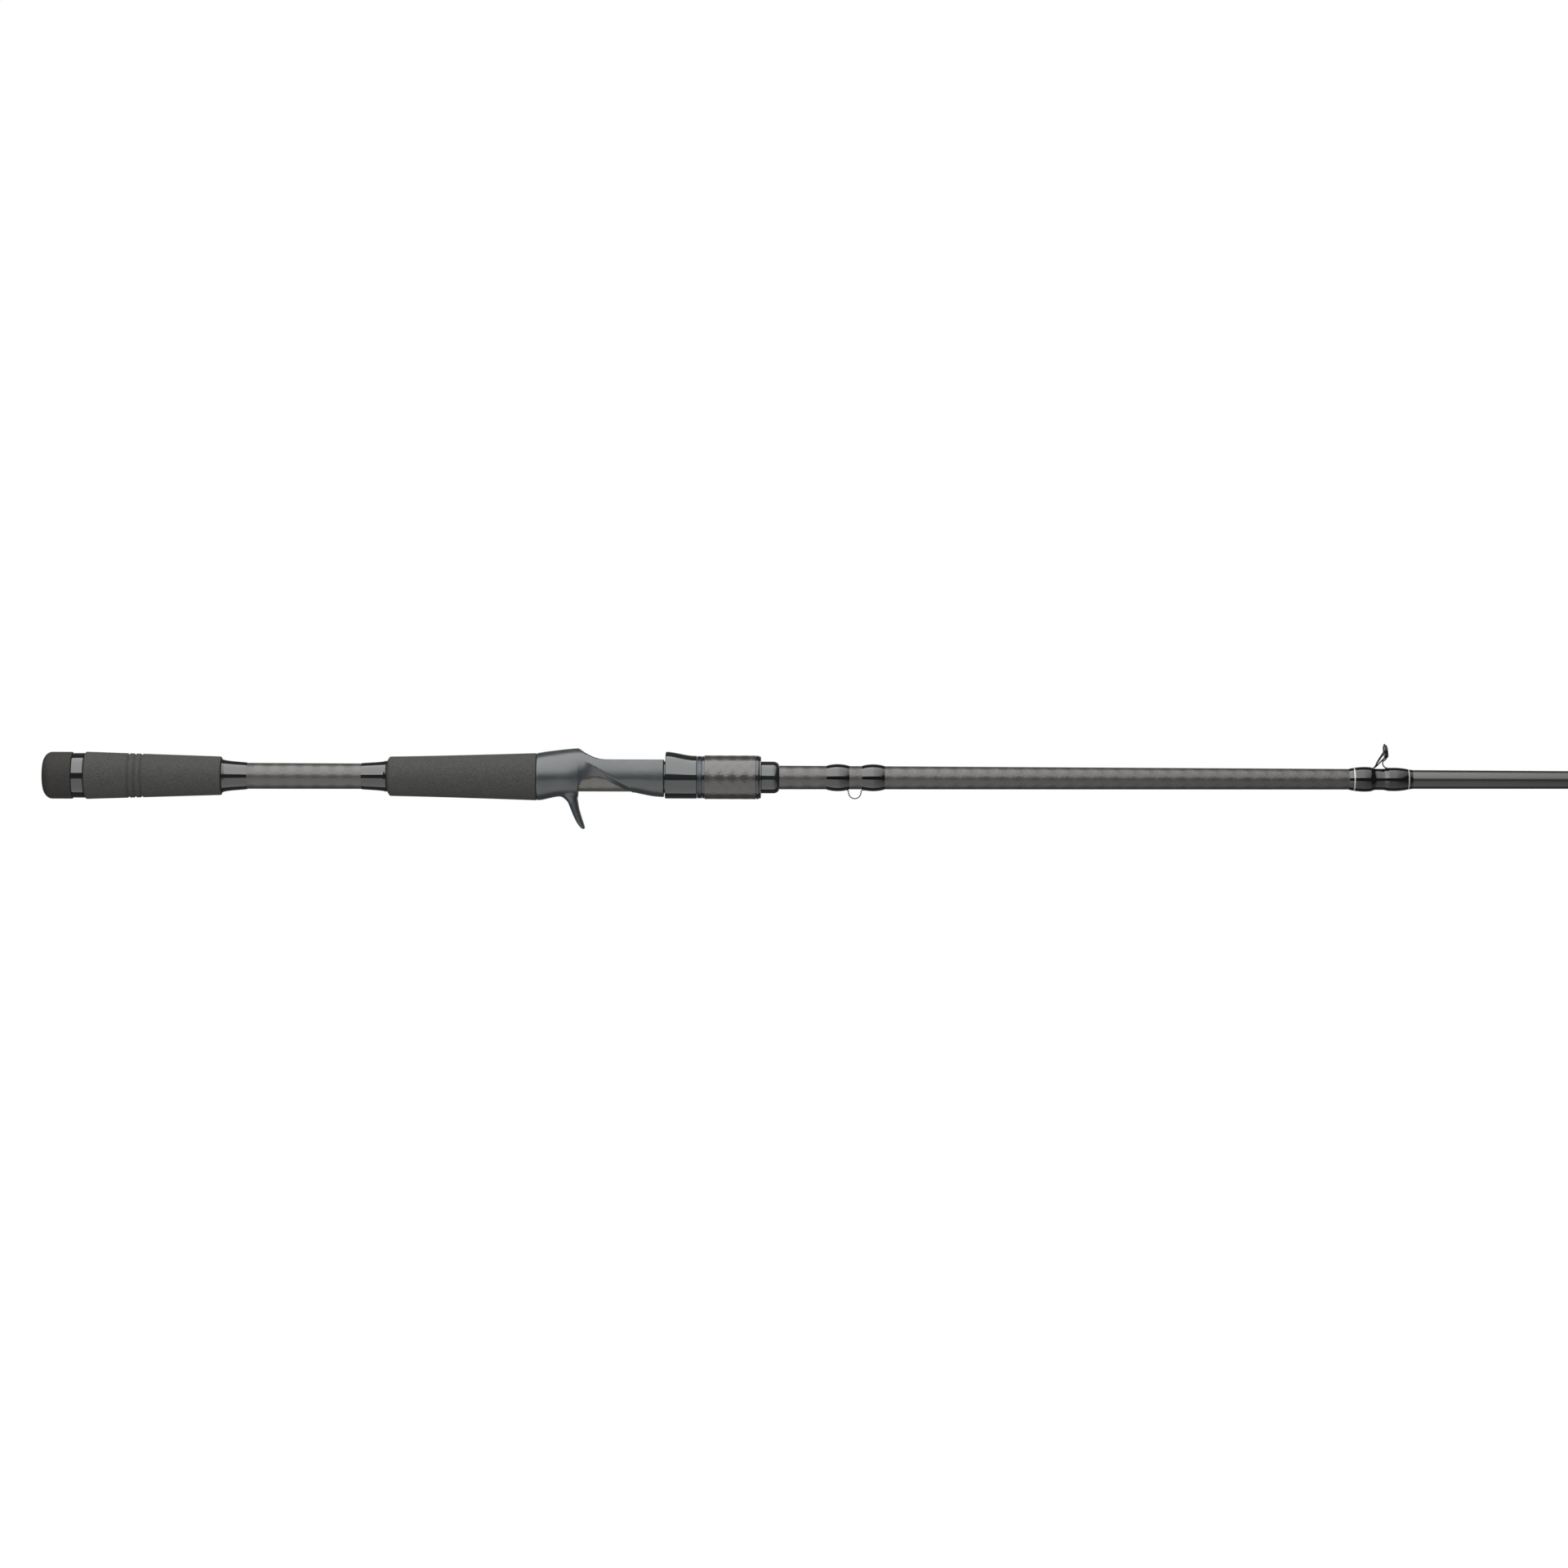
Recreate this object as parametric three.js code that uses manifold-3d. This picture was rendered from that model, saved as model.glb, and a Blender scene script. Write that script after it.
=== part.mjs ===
// A one-piece baitcasting rod: split foam grips, a trigger reel seat, a sliding reel hood and its lock nut, a
// hook keeper, nine double-foot guides and a tip-top. The reel is a separate object and is not part of it.
// Millimetres. The rod's axis is X, with the butt face at 0 and the tip at +X. +Z runs up through the guides,
// so the trigger points down.

import * as THREE from "three";
import { mergeVertices } from "three/addons/utils/BufferGeometryUtils.js";
import Module from "manifold-3d";

const wasm = await Module();
wasm.setup();

// ---------------------------------------------------------------- driving dimensions

const glue = 0.15; // bond line between parts that are glued together
const endGap = 0.2; // between neighbours along the rod
const running = 0.25; // between parts that slide or turn on each other

const blank = {
  length: 2210,
  buttRadius: 8.43,
  tipRadius: 1.2,
  straightTaper: 0.55, // the rest of the taper grows with the square of the distance from the butt
  buttWall: 1.5,
  tipWall: 0.6,
  stations: 6,
};
const sleeve = { wall: 0.3, start: 5, pastGuide: 4.8 }; // woven layer over the blank's butt section
const buttCap = { length: 19.7, radius: 15.55, faceRadius: 7.7, cornerLength: 6, floor: 4, bevel: 0.5 };
const buttRing = { width: 7.9, radius: 14.95, bevel: 0.3 };
const rearGrip = {
  length: 90.1,
  buttRadius: 15.75,
  endRadius: 12.8,
  corner: 1.1,
  grooves: 3,
  firstGroove: 29,
  groovePitch: 4.3,
  grooveWidth: 1.7,
  grooveDepth: 0.7,
};
const trimCone = {
  length: 16.8,
  rearRim: 2.3, // rim over the woven layer
  frontRim: 1.85,
  flare: [[0, 1], [0.13, 0.74], [0.32, 0.52], [0.6, 0.33], [0.93, 0.14], [1, 0.06]],
};
const bareBlank = 75.6; // woven blank that shows between the two grips
const mainGrip = { length: 98.5, rearRadius: 13.1, frontRadius: 15.7, swell: 1.25, corner: 2 };
const arbor = { wall: 1.35 }; // woven tube that carries the reel seat
const barrel = { wall: 2.4, behindNose: 0.7, chamfer: 0.8 };
const seat = {
  length: 84.2,
  humpAt: 27.9, // crest of the fixed hood, from the seat's rear face
  deckAt: 47, // where the flat deck starts
  deckRise: 1, // deck over the barrel's surface
  // The outer skin's reach over the barrel's surface: top, bottom, side. The rear rows run from the rear face
  // to the crest, and the front rows from the window's front end to the seat's front face, by share.
  rearSkin: [
    [0, 5.1, 5.1, 5.1],
    [0.25, 6.2, 4, 4.6],
    [0.48, 7, 2.7, 4.3],
    [0.65, 7.6, 2.4, 4.1],
    [1, 8.4, 2.3, 3.8],
  ],
  waistSkin: [7, 1.6, 3],
  frontSkin: [
    [0, 2.8, -0.3, 2.6],
    [0.33, 2.8, 0.85, 2.7],
    [0.64, 2.8, 2.1, 2.8],
    [1, 2.8, 2.8, 2.8],
  ],
  window: { start: 28.2, end: 63, apex: 0.3 },
};
const pocket = { halfWidth: 7.3, depth: 11, roofWall: 1.9, innerRoof: 5.2, side: 1.1, floorDrop: 0.35 };
const trigger = {
  drop: 21.6, // below the root station
  root: 13,
  stations: [
    // share of the drop, rear edge and front edge from the seat's rear face, half width
    [-0.15, 15.6, 28, 5.6],
    [0, 17.4, 27.5, 5.3],
    [0.16, 20.9, 27.8, 4.9],
    [0.36, 23.1, 28.6, 4.6],
    [0.62, 25.2, 30.1, 4.3],
    [0.83, 27.4, 31.6, 4],
    [0.955, 29.2, 32.3, 3.3],
    [1, 30.4, 31.6, 1.8],
  ],
};
const thread = { pitch: 2.5, depth: 0.9, base: 1.4, crest: 0.6, behindNut: 3.2, barrelTurns: 9, nutTurns: 2 };
const keyway = { width: 3, side: 0.3 };
const hood = { gap: 0.6, length: 21.2, wall: 1.2, overBore: 3.45, mouthRise: 2.6, frontWall: 1.6, lip: 0.6 };
const nut = {
  ringWidth: 3,
  neckWidth: 1.6,
  sleeveLength: 34,
  noseWidth: 3.3,
  sleeveWall: 0.5,
  neckDrop: 0.45,
  noseChamfer: 1.5,
  wall: 3.45, // bore to the outside of the woven sleeve
};
const collar = { length: 12.5, corner: 2.6, endRadius: 9 };
const keeper = { at: 536.8, wire: 0.35, loop: 4.1, drop: 5.6, footLength: 9 };
const keeperWrap = { length: 15.1, gap: 8.3, thickness: 1.3 };
const guides = {
  count: 9,
  firstAt: 883.7,
  spacingRatio: 1.12, // each gap over the next one towards the tip
  firstHoop: 5.05, // outer radius of the frame's hoop
  smallestHoop: 3.7,
  shrink: 0.9, // each hoop over the one before it
  wire: 0.45,
  rise: 11.9, // hoop centre over the surface of the rod, on the first guide
  reach: 3.5, // hoop centre ahead of the middle of the feet
  lean: 8, // degrees, top of the hoop towards the reel
  ringWall: 0.9,
  ringWidth: 1.7,
  footStart: 3.4,
  footLength: 10,
  footWidth: 2.4,
  footThickness: 0.5,
  wrapBefore: 20.2,
  wrapAfter: 21.9,
  wrapThickness: 1.5,
};
const tipTop = {
  tubeLength: 13,
  tubeWall: 0.45,
  hoop: 3.9,
  rise: 5.2,
  wire: 0.4,
  wrapLength: 8,
  wrapThickness: 0.45,
};

const roundSides = 24; // facets of the handle's round parts
const blankSides = 12; // facets of the blank and what is wrapped on it
const ringSides = 12; // facets round a guide ring
const barrelThreadSides = 10;
const nutThreadSides = 16; // an inside thread's facets cut inwards, so it takes more of them

// ---------------------------------------------------------------- materials

const material = (color, roughness, metalness) =>
  new THREE.MeshStandardMaterial({ color, roughness, metalness });
const foam = material(0x3a3a39, 0.95, 0);
const glossBlack = material(0x141517, 0.12, 0);
const wovenCarbon = material(0x4a4743, 0.4, 0.1);
const seatPaint = material(0x4a5157, 0.38, 0.35);
const hoodBlack = material(0x1c1f20, 0.15, 0.2);
const anodised = material(0x59626f, 0.3, 0.9);
const nutPlastic = material(0x17181a, 0.25, 0);
const mattBlank = material(0x35332f, 0.5, 0.1);
const threadWrap = material(0x101011, 0.1, 0);
const frameSteel = material(0x2b2522, 0.25, 0.9);
const ringCeramic = material(0x1d1718, 0.08, 0.2);

// ---------------------------------------------------------------- shape helpers

// A three.js geometry as a manifold-3d solid.
function solid(geometry) {
  const bare = geometry.index ? geometry.toNonIndexed() : geometry.clone();
  for (const name of Object.keys(bare.attributes)) if (name !== "position") bare.deleteAttribute(name);
  const merged = mergeVertices(bare, 1e-4);
  return new wasm.Manifold(
    new wasm.Mesh({
      numProp: 3,
      vertProperties: merged.attributes.position.array,
      triVerts: new Uint32Array(merged.index.array),
    }),
  );
}

// A manifold-3d solid as a three.js geometry.
function geometryOf(made) {
  const mesh = made.getMesh();
  const geometry = new THREE.BufferGeometry();
  geometry.setAttribute("position", new THREE.BufferAttribute(new Float32Array(mesh.vertProperties), 3));
  geometry.setIndex(new THREE.BufferAttribute(new Uint32Array(mesh.triVerts), 1));
  geometry.computeVertexNormals();
  return geometry;
}

// A solid of revolution about the X axis. The profile is [x, radius] pairs and is closed on itself.
function turned(profile, sides = roundSides) {
  const points = [...profile, profile[0]].map(([x, r]) => new THREE.Vector2(r, x));
  return new THREE.LatheGeometry(points, sides).rotateZ(-Math.PI / 2);
}

// A tube round the X axis, from outer [x, radius] pairs running towards the tip. Its bore is a function of x,
// straight from end to end unless more stations are given.
function tube(outer, bore, sides, stations = [outer[0][0], outer.at(-1)[0]]) {
  const inner = stations.map((x) => [x, bore(x)]);
  return turned([...outer, ...inner.reverse()], sides);
}

// A closed solid through rings that hold the same number of points, with a flat fan at both ends.
function loft(rings) {
  const count = rings[0].length;
  const positions = rings.flat().flatMap((p) => [p.x, p.y, p.z]);
  const index = [];
  for (let i = 0; i + 1 < rings.length; i++)
    for (let j = 0; j < count; j++) {
      const [a, b] = [i * count + j, i * count + ((j + 1) % count)];
      index.push(a, b, a + count, b, b + count, a + count);
    }
  for (const [first, ring, front] of [
    [0, rings[0], true],
    [(rings.length - 1) * count, rings.at(-1), false],
  ]) {
    const middle = ring.reduce((sum, p) => sum.add(p), new THREE.Vector3()).divideScalar(count);
    const centre = positions.push(middle.x, middle.y, middle.z) / 3 - 1;
    for (let j = 0; j < count; j++) {
      const [a, b] = [first + j, first + ((j + 1) % count)];
      index.push(...(front ? [b, a, centre] : [a, b, centre]));
    }
  }
  const geometry = new THREE.BufferGeometry();
  geometry.setAttribute("position", new THREE.Float32BufferAttribute(positions, 3));
  geometry.setIndex(index);
  return outward(geometry);
}

// The same geometry with its faces turned to point out.
function outward(geometry) {
  if (solid(geometry).volume() < 0) geometry.setIndex([...geometry.index.array].reverse());
  return geometry;
}

// An egg-shaped ring across the rod: top and bottom are its reach above and below the axis.
function eggRing(x, top, bottom, side, count = roundSides) {
  return Array.from({ length: count }, (_, i) => {
    const turn = (2 * Math.PI * i) / count;
    const height = Math.cos(turn) > 0 ? top : bottom;
    return new THREE.Vector3(x, side * Math.sin(turn), height * Math.cos(turn));
  });
}

// A ring across the rod with a flat floor, upright sides and an arched roof.
function archRing(x, halfWidth, floor, spring, roof, steps = 8) {
  const arch = Array.from({ length: steps + 1 }, (_, i) => {
    const turn = (Math.PI * i) / steps;
    return new THREE.Vector3(x, halfWidth * Math.cos(turn), spring + (roof - spring) * Math.sin(turn));
  });
  return [new THREE.Vector3(x, halfWidth, floor), ...arch, new THREE.Vector3(x, -halfWidth, floor)];
}

// A level oval ring, for a piece that is lofted downwards.
function levelRing(z, rear, front, halfWidth, count = 12) {
  const [middle, reach] = [(rear + front) / 2, (front - rear) / 2];
  return Array.from({ length: count }, (_, i) => {
    const turn = (2 * Math.PI * i) / count;
    return new THREE.Vector3(middle + reach * Math.cos(turn), halfWidth * Math.sin(turn), z);
  });
}

// A round wire along a smooth curve through the points.
function wire(points, radius, sides = 6, steps = 3 * points.length) {
  const circle = new THREE.EllipseCurve(0, 0, radius, radius).getPoints(sides);
  const section = new THREE.Shape(circle.slice(0, sides));
  const path = new THREE.CatmullRomCurve3(points.map(([x, y, z]) => new THREE.Vector3(x, y, z)));
  return new THREE.ExtrudeGeometry(section, { steps, bevelEnabled: false, extrudePath: path });
}

const box = (low, high) =>
  new THREE.BoxGeometry(...high.map((value, i) => value - low[i])).translate(
    ...high.map((value, i) => (value + low[i]) / 2),
  );

// A side outline in X and Z, extruded to both sides of the rod's middle plane.
function sideCut(outline, halfWidth) {
  const shape = new THREE.Shape(outline.map(([x, z]) => new THREE.Vector2(x, z)));
  const made = new THREE.ExtrudeGeometry(shape, { depth: 2 * halfWidth, bevelEnabled: false });
  return made.translate(0, 0, -halfWidth).rotateX(Math.PI / 2);
}

const union = (...parts) => parts.slice(1).reduce((sum, part) => sum.add(solid(part)), solid(parts[0]));

// ---------------------------------------------------------------- where things are along the rod

const plan = {};
plan.ring = buttCap.length + endGap;
plan.rearGrip = plan.ring + buttRing.width + endGap;
plan.rearTrim = plan.rearGrip + rearGrip.length + endGap;
plan.mainTrim = plan.rearTrim + trimCone.length + bareBlank;
plan.mainGrip = plan.mainTrim + trimCone.length + endGap;
plan.seat = plan.mainGrip + mainGrip.length + endGap;
plan.barrel = plan.seat + seat.length + endGap;
plan.hood = plan.seat + seat.length + hood.gap;
plan.nutRing = plan.hood + hood.length + endGap;
plan.nutCore = plan.nutRing + nut.ringWidth + endGap;
plan.nutSleeve = plan.nutCore + nut.neckWidth;
plan.nutNose = plan.nutSleeve + nut.sleeveLength + endGap;
plan.barrelEnd = plan.nutNose + nut.noseWidth - barrel.behindNose;
plan.thread = plan.nutCore - thread.behindNut;
plan.collar = plan.barrelEnd + endGap;
plan.sleeveEnd = guides.firstAt + sleeve.pastGuide;

const blankRadius = (x) => {
  const share = x / blank.length;
  const taper = blank.straightTaper * share + (1 - blank.straightTaper) * share * share;
  return blank.buttRadius - (blank.buttRadius - blank.tipRadius) * taper;
};
const sleeveRadius = (x) => blankRadius(x) + glue + sleeve.wall;
const onSleeve = (x) => sleeveRadius(x) + glue;
const arborBore = onSleeve(plan.seat);
const arborRadius = arborBore + arbor.wall;
const barrelRadius = onSleeve(plan.barrel) + barrel.wall;
const slidingBore = barrelRadius + running;
const deckHeight = barrelRadius + seat.deckRise;

// ---------------------------------------------------------------- blank and grips

function makeBlank() {
  const wall = (x) => blank.buttWall + (blank.tipWall - blank.buttWall) * (x / blank.length);
  const at = Array.from({ length: blank.stations + 1 }, (_, i) => {
    const first = sleeve.start - 0.5;
    return first + ((blank.length - first) * i) / blank.stations;
  });
  return tube(at.map((x) => [x, blankRadius(x)]), (x) => blankRadius(x) - wall(x), blankSides, at);
}

function makeSleeve() {
  const [start, end] = [sleeve.start, plan.sleeveEnd];
  const at = [0, 0.25, 0.5, 0.75, 1].map((share) => start + (end - start) * share);
  return tube(at.map((x) => [x, sleeveRadius(x)]), (x) => blankRadius(x) + glue, blankSides, at);
}

function makeButtCap() {
  const { length, radius, faceRadius, cornerLength, floor, bevel } = buttCap;
  const round = [0, 22.5, 45, 67.5, 90].map((degrees) => {
    const turn = THREE.MathUtils.degToRad(degrees);
    return [cornerLength * (1 - Math.cos(turn)), faceRadius + (radius - faceRadius) * Math.sin(turn)];
  });
  const outside = [[0, 0], ...round, [length - bevel, radius], [length, radius - bevel]];
  return turned([...outside, [length, onSleeve(floor)], [floor, onSleeve(floor)], [floor, 0]]);
}

function makeButtRing() {
  const { width, radius, bevel } = buttRing;
  const outer = [
    [plan.ring, radius - bevel],
    [plan.ring + bevel, radius],
    [plan.ring + width - bevel, radius],
    [plan.ring + width, radius - bevel],
  ];
  return tube(outer, onSleeve);
}

function makeRearGrip() {
  const { length, buttRadius, endRadius, corner, grooveDepth, grooveWidth } = rearGrip;
  const surface = (from) => buttRadius + ((endRadius - buttRadius) * from) / length;
  const outer = [
    [0, buttRadius - corner],
    [corner, surface(corner)],
  ];
  for (let i = 0; i < rearGrip.grooves; i++) {
    const middle = rearGrip.firstGroove + i * rearGrip.groovePitch;
    outer.push([middle - grooveWidth / 2, surface(middle)]);
    outer.push([middle, surface(middle) - grooveDepth]);
    outer.push([middle + grooveWidth / 2, surface(middle)]);
  }
  outer.push([length - 0.5, endRadius], [length, endRadius - 0.5]);
  return tube(outer.map(([x, r]) => [plan.rearGrip + x, r]), onSleeve);
}

// A flared trim cone. Its wide rim faces its grip, which is on the butt side if towards is -1, else ahead.
function makeTrimCone(start, towards, rim) {
  const placed = trimCone.flare.map(([share, rise]) => {
    const x = start + trimCone.length * (towards < 0 ? share : 1 - share);
    return [x, onSleeve(x) + rim * rise];
  });
  return tube(towards < 0 ? placed : placed.reverse(), onSleeve);
}

function makeMainGrip() {
  const { length, rearRadius, frontRadius, swell, corner } = mainGrip;
  const surface = (share) => rearRadius + (frontRadius - rearRadius) * share ** swell;
  const outer = [[0, rearRadius - corner], [corner * 0.3, rearRadius - corner * 0.3]];
  outer.push(...[corner / length, 0.2, 0.4, 0.6, 0.8, 1].map((share) => [share * length, surface(share)]));
  return tube(outer.map(([x, r]) => [plan.mainGrip + x, r]), onSleeve);
}

// ---------------------------------------------------------------- reel seat

function makeArbor() {
  const [start, end] = [plan.seat + endGap, plan.seat + seat.length - endGap];
  return tube([[start, arborRadius], [end, arborRadius]], () => arborBore);
}

function makeTriggerPiece() {
  const rings = trigger.stations.map(([share, rear, front, halfWidth]) =>
    levelRing(-trigger.root - share * trigger.drop, plan.seat + rear, plan.seat + front, halfWidth),
  );
  return loft(rings);
}

// The underside opening: an arch that rises to the axis and runs out towards the barrel.
function makeWindow() {
  const { start, end, apex } = seat.window;
  const arch = [[0, 0.93], [0.01, 0.64], [0.11, 0.19], [0.22, 0], [apex + 0.05, 0], [0.49, 0.09]];
  arch.push([0.63, 0.32], [0.76, 0.58], [0.9, 0.81], [1, 0.93]);
  const at = (share) => plan.seat + start + share * (end - start);
  const low = -3 * barrelRadius;
  const edge = arch.map(([share, drop]) => [at(share), -drop * barrelRadius]);
  return sideCut([[at(0), low], ...edge, [at(1), low]], 2 * barrelRadius);
}

// The seat's outer skin, before the deck, pocket and window are cut.
function seatSkin() {
  const { humpAt, length, rearSkin, waistSkin, frontSkin } = seat;
  const { end } = seat.window;
  const rows = [
    ...rearSkin.map(([share, ...rises]) => [share * humpAt, ...rises]),
    [(humpAt + end) / 2, ...waistSkin],
    ...frontSkin.map(([share, ...rises]) => [end + share * (length - end), ...rises]),
  ];
  const ringAt = ([at, ...rises]) => eggRing(plan.seat + at, ...rises.map((rise) => barrelRadius + rise));
  return loft(rows.map(ringAt));
}

function makeReelSeat() {
  const { humpAt, deckAt, length } = seat;
  const [from, to] = [plan.seat, plan.seat + length];
  const crest = barrelRadius + seat.rearSkin.at(-1)[1];
  const clear = 2 * crest;
  // Everything above the hood's sloping front and the flat deck goes.
  const above = sideCut(
    [
      [from + humpAt + 0.5, clear],
      [from + humpAt + 0.5, crest - 0.1],
      [from + humpAt + 3.3, crest - 2.4],
      [from + humpAt + 8.1, crest - 5.1],
      [from + humpAt + 11.4, deckHeight + 1.1],
      [from + deckAt - 4.5, deckHeight + 0.4],
      [from + deckAt, deckHeight],
      [to + 1, deckHeight],
      [to + 1, clear],
    ],
    clear,
  );
  const floor = deckHeight - pocket.floorDrop;
  const roof = crest - pocket.roofWall;
  const spring = floor + pocket.side;
  const footPocket = loft([
    archRing(from + humpAt - pocket.depth, pocket.halfWidth, floor, spring, floor + pocket.innerRoof),
    archRing(from + humpAt + 1, pocket.halfWidth, floor, spring, roof),
    archRing(from + deckAt, pocket.halfWidth, floor, spring, roof),
  ]);
  const bore = tube([[from - 1, arborRadius + glue], [to + 1, arborRadius + glue]], () => 0);
  return solid(seatSkin())
    .subtract(solid(above))
    .subtract(solid(makeWindow()))
    .add(solid(makeTriggerPiece()))
    .subtract(solid(bore))
    .subtract(solid(footPocket));
}

// A helical ridge on a round wall, as a loft of trapezoids. It runs towards the tip, right-handed.
function ridge(startX, turns, baseRadius, crestRadius, sides) {
  const rings = Array.from({ length: Math.round(turns * sides) + 1 }, (_, i) => {
    const share = i / sides;
    const turn = 2 * Math.PI * share;
    const x = startX + thread.pitch * share;
    const corners = [
      [x - thread.base / 2, baseRadius],
      [x - thread.crest / 2, crestRadius],
      [x + thread.crest / 2, crestRadius],
      [x + thread.base / 2, baseRadius],
    ];
    return corners.map(([at, r]) => new THREE.Vector3(at, -r * Math.sin(turn), r * Math.cos(turn)));
  });
  return solid(loft(rings));
}

// The threaded barrel that the hood and the lock nut ride on, glued on the blank ahead of the seat.
function makeBarrel() {
  const { chamfer } = barrel;
  const core = barrelRadius - thread.depth;
  const threadStart = plan.thread;
  const threadEnd = threadStart + thread.pitch * thread.barrelTurns;
  const bore = onSleeve(plan.barrel);
  const body = turned([
    [plan.barrel, barrelRadius],
    [threadStart - thread.pitch, barrelRadius],
    [threadStart - thread.pitch, core],
    [threadEnd + thread.pitch, core],
    [threadEnd + thread.pitch, barrelRadius],
    [plan.barrelEnd - chamfer, barrelRadius],
    [plan.barrelEnd, barrelRadius - chamfer],
    [plan.barrelEnd, bore],
    [plan.barrel, bore],
  ]);
  const slot = box(
    [plan.barrel + endGap, -keyway.width / 2, -2 * barrelRadius],
    [threadEnd + thread.pitch, keyway.width / 2, -core],
  );
  return solid(body)
    .add(ridge(threadStart, thread.barrelTurns, core - 0.3, barrelRadius, barrelThreadSides))
    .subtract(solid(slot));
}

// ---------------------------------------------------------------- sliding hood

const hoodRadius = slidingBore + hood.overBore;

// Egg rings of the hood's outside, drawn in by inset, between two stations along it.
function hoodRings(inset, from, to) {
  return [0, 0.25, 0.5, 0.75, 1].map((share) => {
    const at = from + share * (to - from);
    const rise = hood.mouthRise * (1 - THREE.MathUtils.smoothstep(at / hood.length, 0.05, 0.95));
    return eggRing(plan.hood + at, hoodRadius + rise - inset, hoodRadius - inset, hoodRadius - inset);
  });
}

function makeHood() {
  const first = hoodRings(hood.lip, 0, hood.length)[0];
  const skin = loft([first, ...hoodRings(0, hood.lip, hood.length)]);
  const cavity = loft(hoodRings(hood.wall, -1, hood.length - hood.frontWall));
  const bore = tube([[plan.hood, slidingBore], [plan.hood + hood.length + 1, slidingBore]], () => 0);
  return solid(skin).subtract(solid(cavity)).subtract(solid(bore));
}

// The bush inside the hood slides on the barrel. It leaves room on top for the reel foot, with a key below.
function makeHoodBush() {
  const [start, end] = [1, hood.length - hood.frontWall - endGap];
  const body = loft(hoodRings(hood.wall + glue, start, end));
  const bore = tube([[plan.hood, slidingBore], [plan.hood + hood.length, slidingBore]], () => 0);
  const footRoom = box(
    [plan.hood, -pocket.halfWidth, slidingBore * 0.6],
    [plan.hood + hood.length, pocket.halfWidth, 2 * hoodRadius],
  );
  const key = box(
    [plan.hood + start, keyway.side - keyway.width / 2, -slidingBore - 0.5],
    [plan.hood + end, keyway.width / 2 - keyway.side, -barrelRadius + thread.depth - keyway.side],
  );
  return solid(body).subtract(solid(bore)).subtract(solid(footRoom)).add(solid(key));
}

// ---------------------------------------------------------------- lock nut

const nutRadius = slidingBore + running + nut.wall;
const nutBore = barrelRadius + running + 0.05;
const nutCoreRadius = nutRadius - nut.sleeveWall - glue;

function makeNutRing() {
  const [x, radius, bevel] = [plan.nutRing, nutRadius - nut.neckDrop, 0.3];
  const outer = [
    [x, radius - bevel],
    [x + bevel, radius],
    [x + nut.ringWidth - bevel, radius],
    [x + nut.ringWidth, radius - bevel],
  ];
  return tube(outer, () => nutBore);
}

function makeNutCore() {
  const end = plan.nutNose + nut.noseWidth - 2 * endGap;
  const outer = [
    [plan.nutCore, nutRadius - nut.neckDrop],
    [plan.nutSleeve - endGap, nutRadius - nut.neckDrop],
    [plan.nutSleeve - endGap, nutCoreRadius],
    [end, nutCoreRadius],
  ];
  const inside = [[end, nutBore], [plan.nutCore, nutBore]];
  // The nut's ridge sits half a pitch from the barrel's, in the same helix.
  const pitches = Math.ceil((thread.behindNut + thread.base / 2) / thread.pitch - 0.5);
  const start = plan.thread + thread.pitch * (pitches + 0.5);
  const inner = barrelRadius - thread.depth + 0.3;
  const body = solid(turned([...outer, ...inside]));
  return body.add(ridge(start, thread.nutTurns, nutBore + 0.4, inner, nutThreadSides));
}

const makeNutSleeve = () =>
  tube(
    [[plan.nutSleeve, nutRadius], [plan.nutSleeve + nut.sleeveLength, nutRadius]],
    () => nutCoreRadius + glue,
  );

function makeNutNose() {
  const [x, end] = [plan.nutNose, plan.nutNose + nut.noseWidth];
  const outer = [
    [x, nutRadius],
    [end - nut.noseChamfer, nutRadius - 0.15],
    [end, nutRadius - nut.noseChamfer],
  ];
  const lip = end - endGap;
  const inside = [[lip, nutBore], [lip, nutCoreRadius + glue], [x, nutCoreRadius + glue]];
  return turned([...outer, [end, nutBore], ...inside]);
}

// The stepped collar that closes the front of the seat. The open nut runs over it.
function makeFrontCollar() {
  const radius = nutBore - running;
  const end = plan.collar + collar.length;
  const outer = [
    [plan.collar, radius],
    [end - collar.corner, radius],
    [end - collar.corner * 0.4, radius - 0.35],
    [end, collar.endRadius],
  ];
  return tube(outer, onSleeve);
}

// ---------------------------------------------------------------- hook keeper

const keeperBase = -(sleeveRadius(keeper.at - keeper.loop - keeper.footLength) + glue + keeper.wire);

function makeKeeper() {
  const { at, loop, drop, footLength } = keeper;
  const low = keeperBase - drop;
  const arch = [180, 150, 120, 90, 60, 30, 0].map((degrees) => {
    const turn = THREE.MathUtils.degToRad(degrees);
    return [at + loop * Math.cos(turn), 0, low + loop - loop * Math.sin(turn)];
  });
  const foot = [[at - loop - footLength, 0, keeperBase], [at - loop - 2, 0, keeperBase]];
  const mirror = ([x, y, z]) => [2 * at - x, y, z];
  return wire([...foot, ...arch, ...foot.map(mirror).reverse()], keeper.wire, 5, 24);
}

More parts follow.
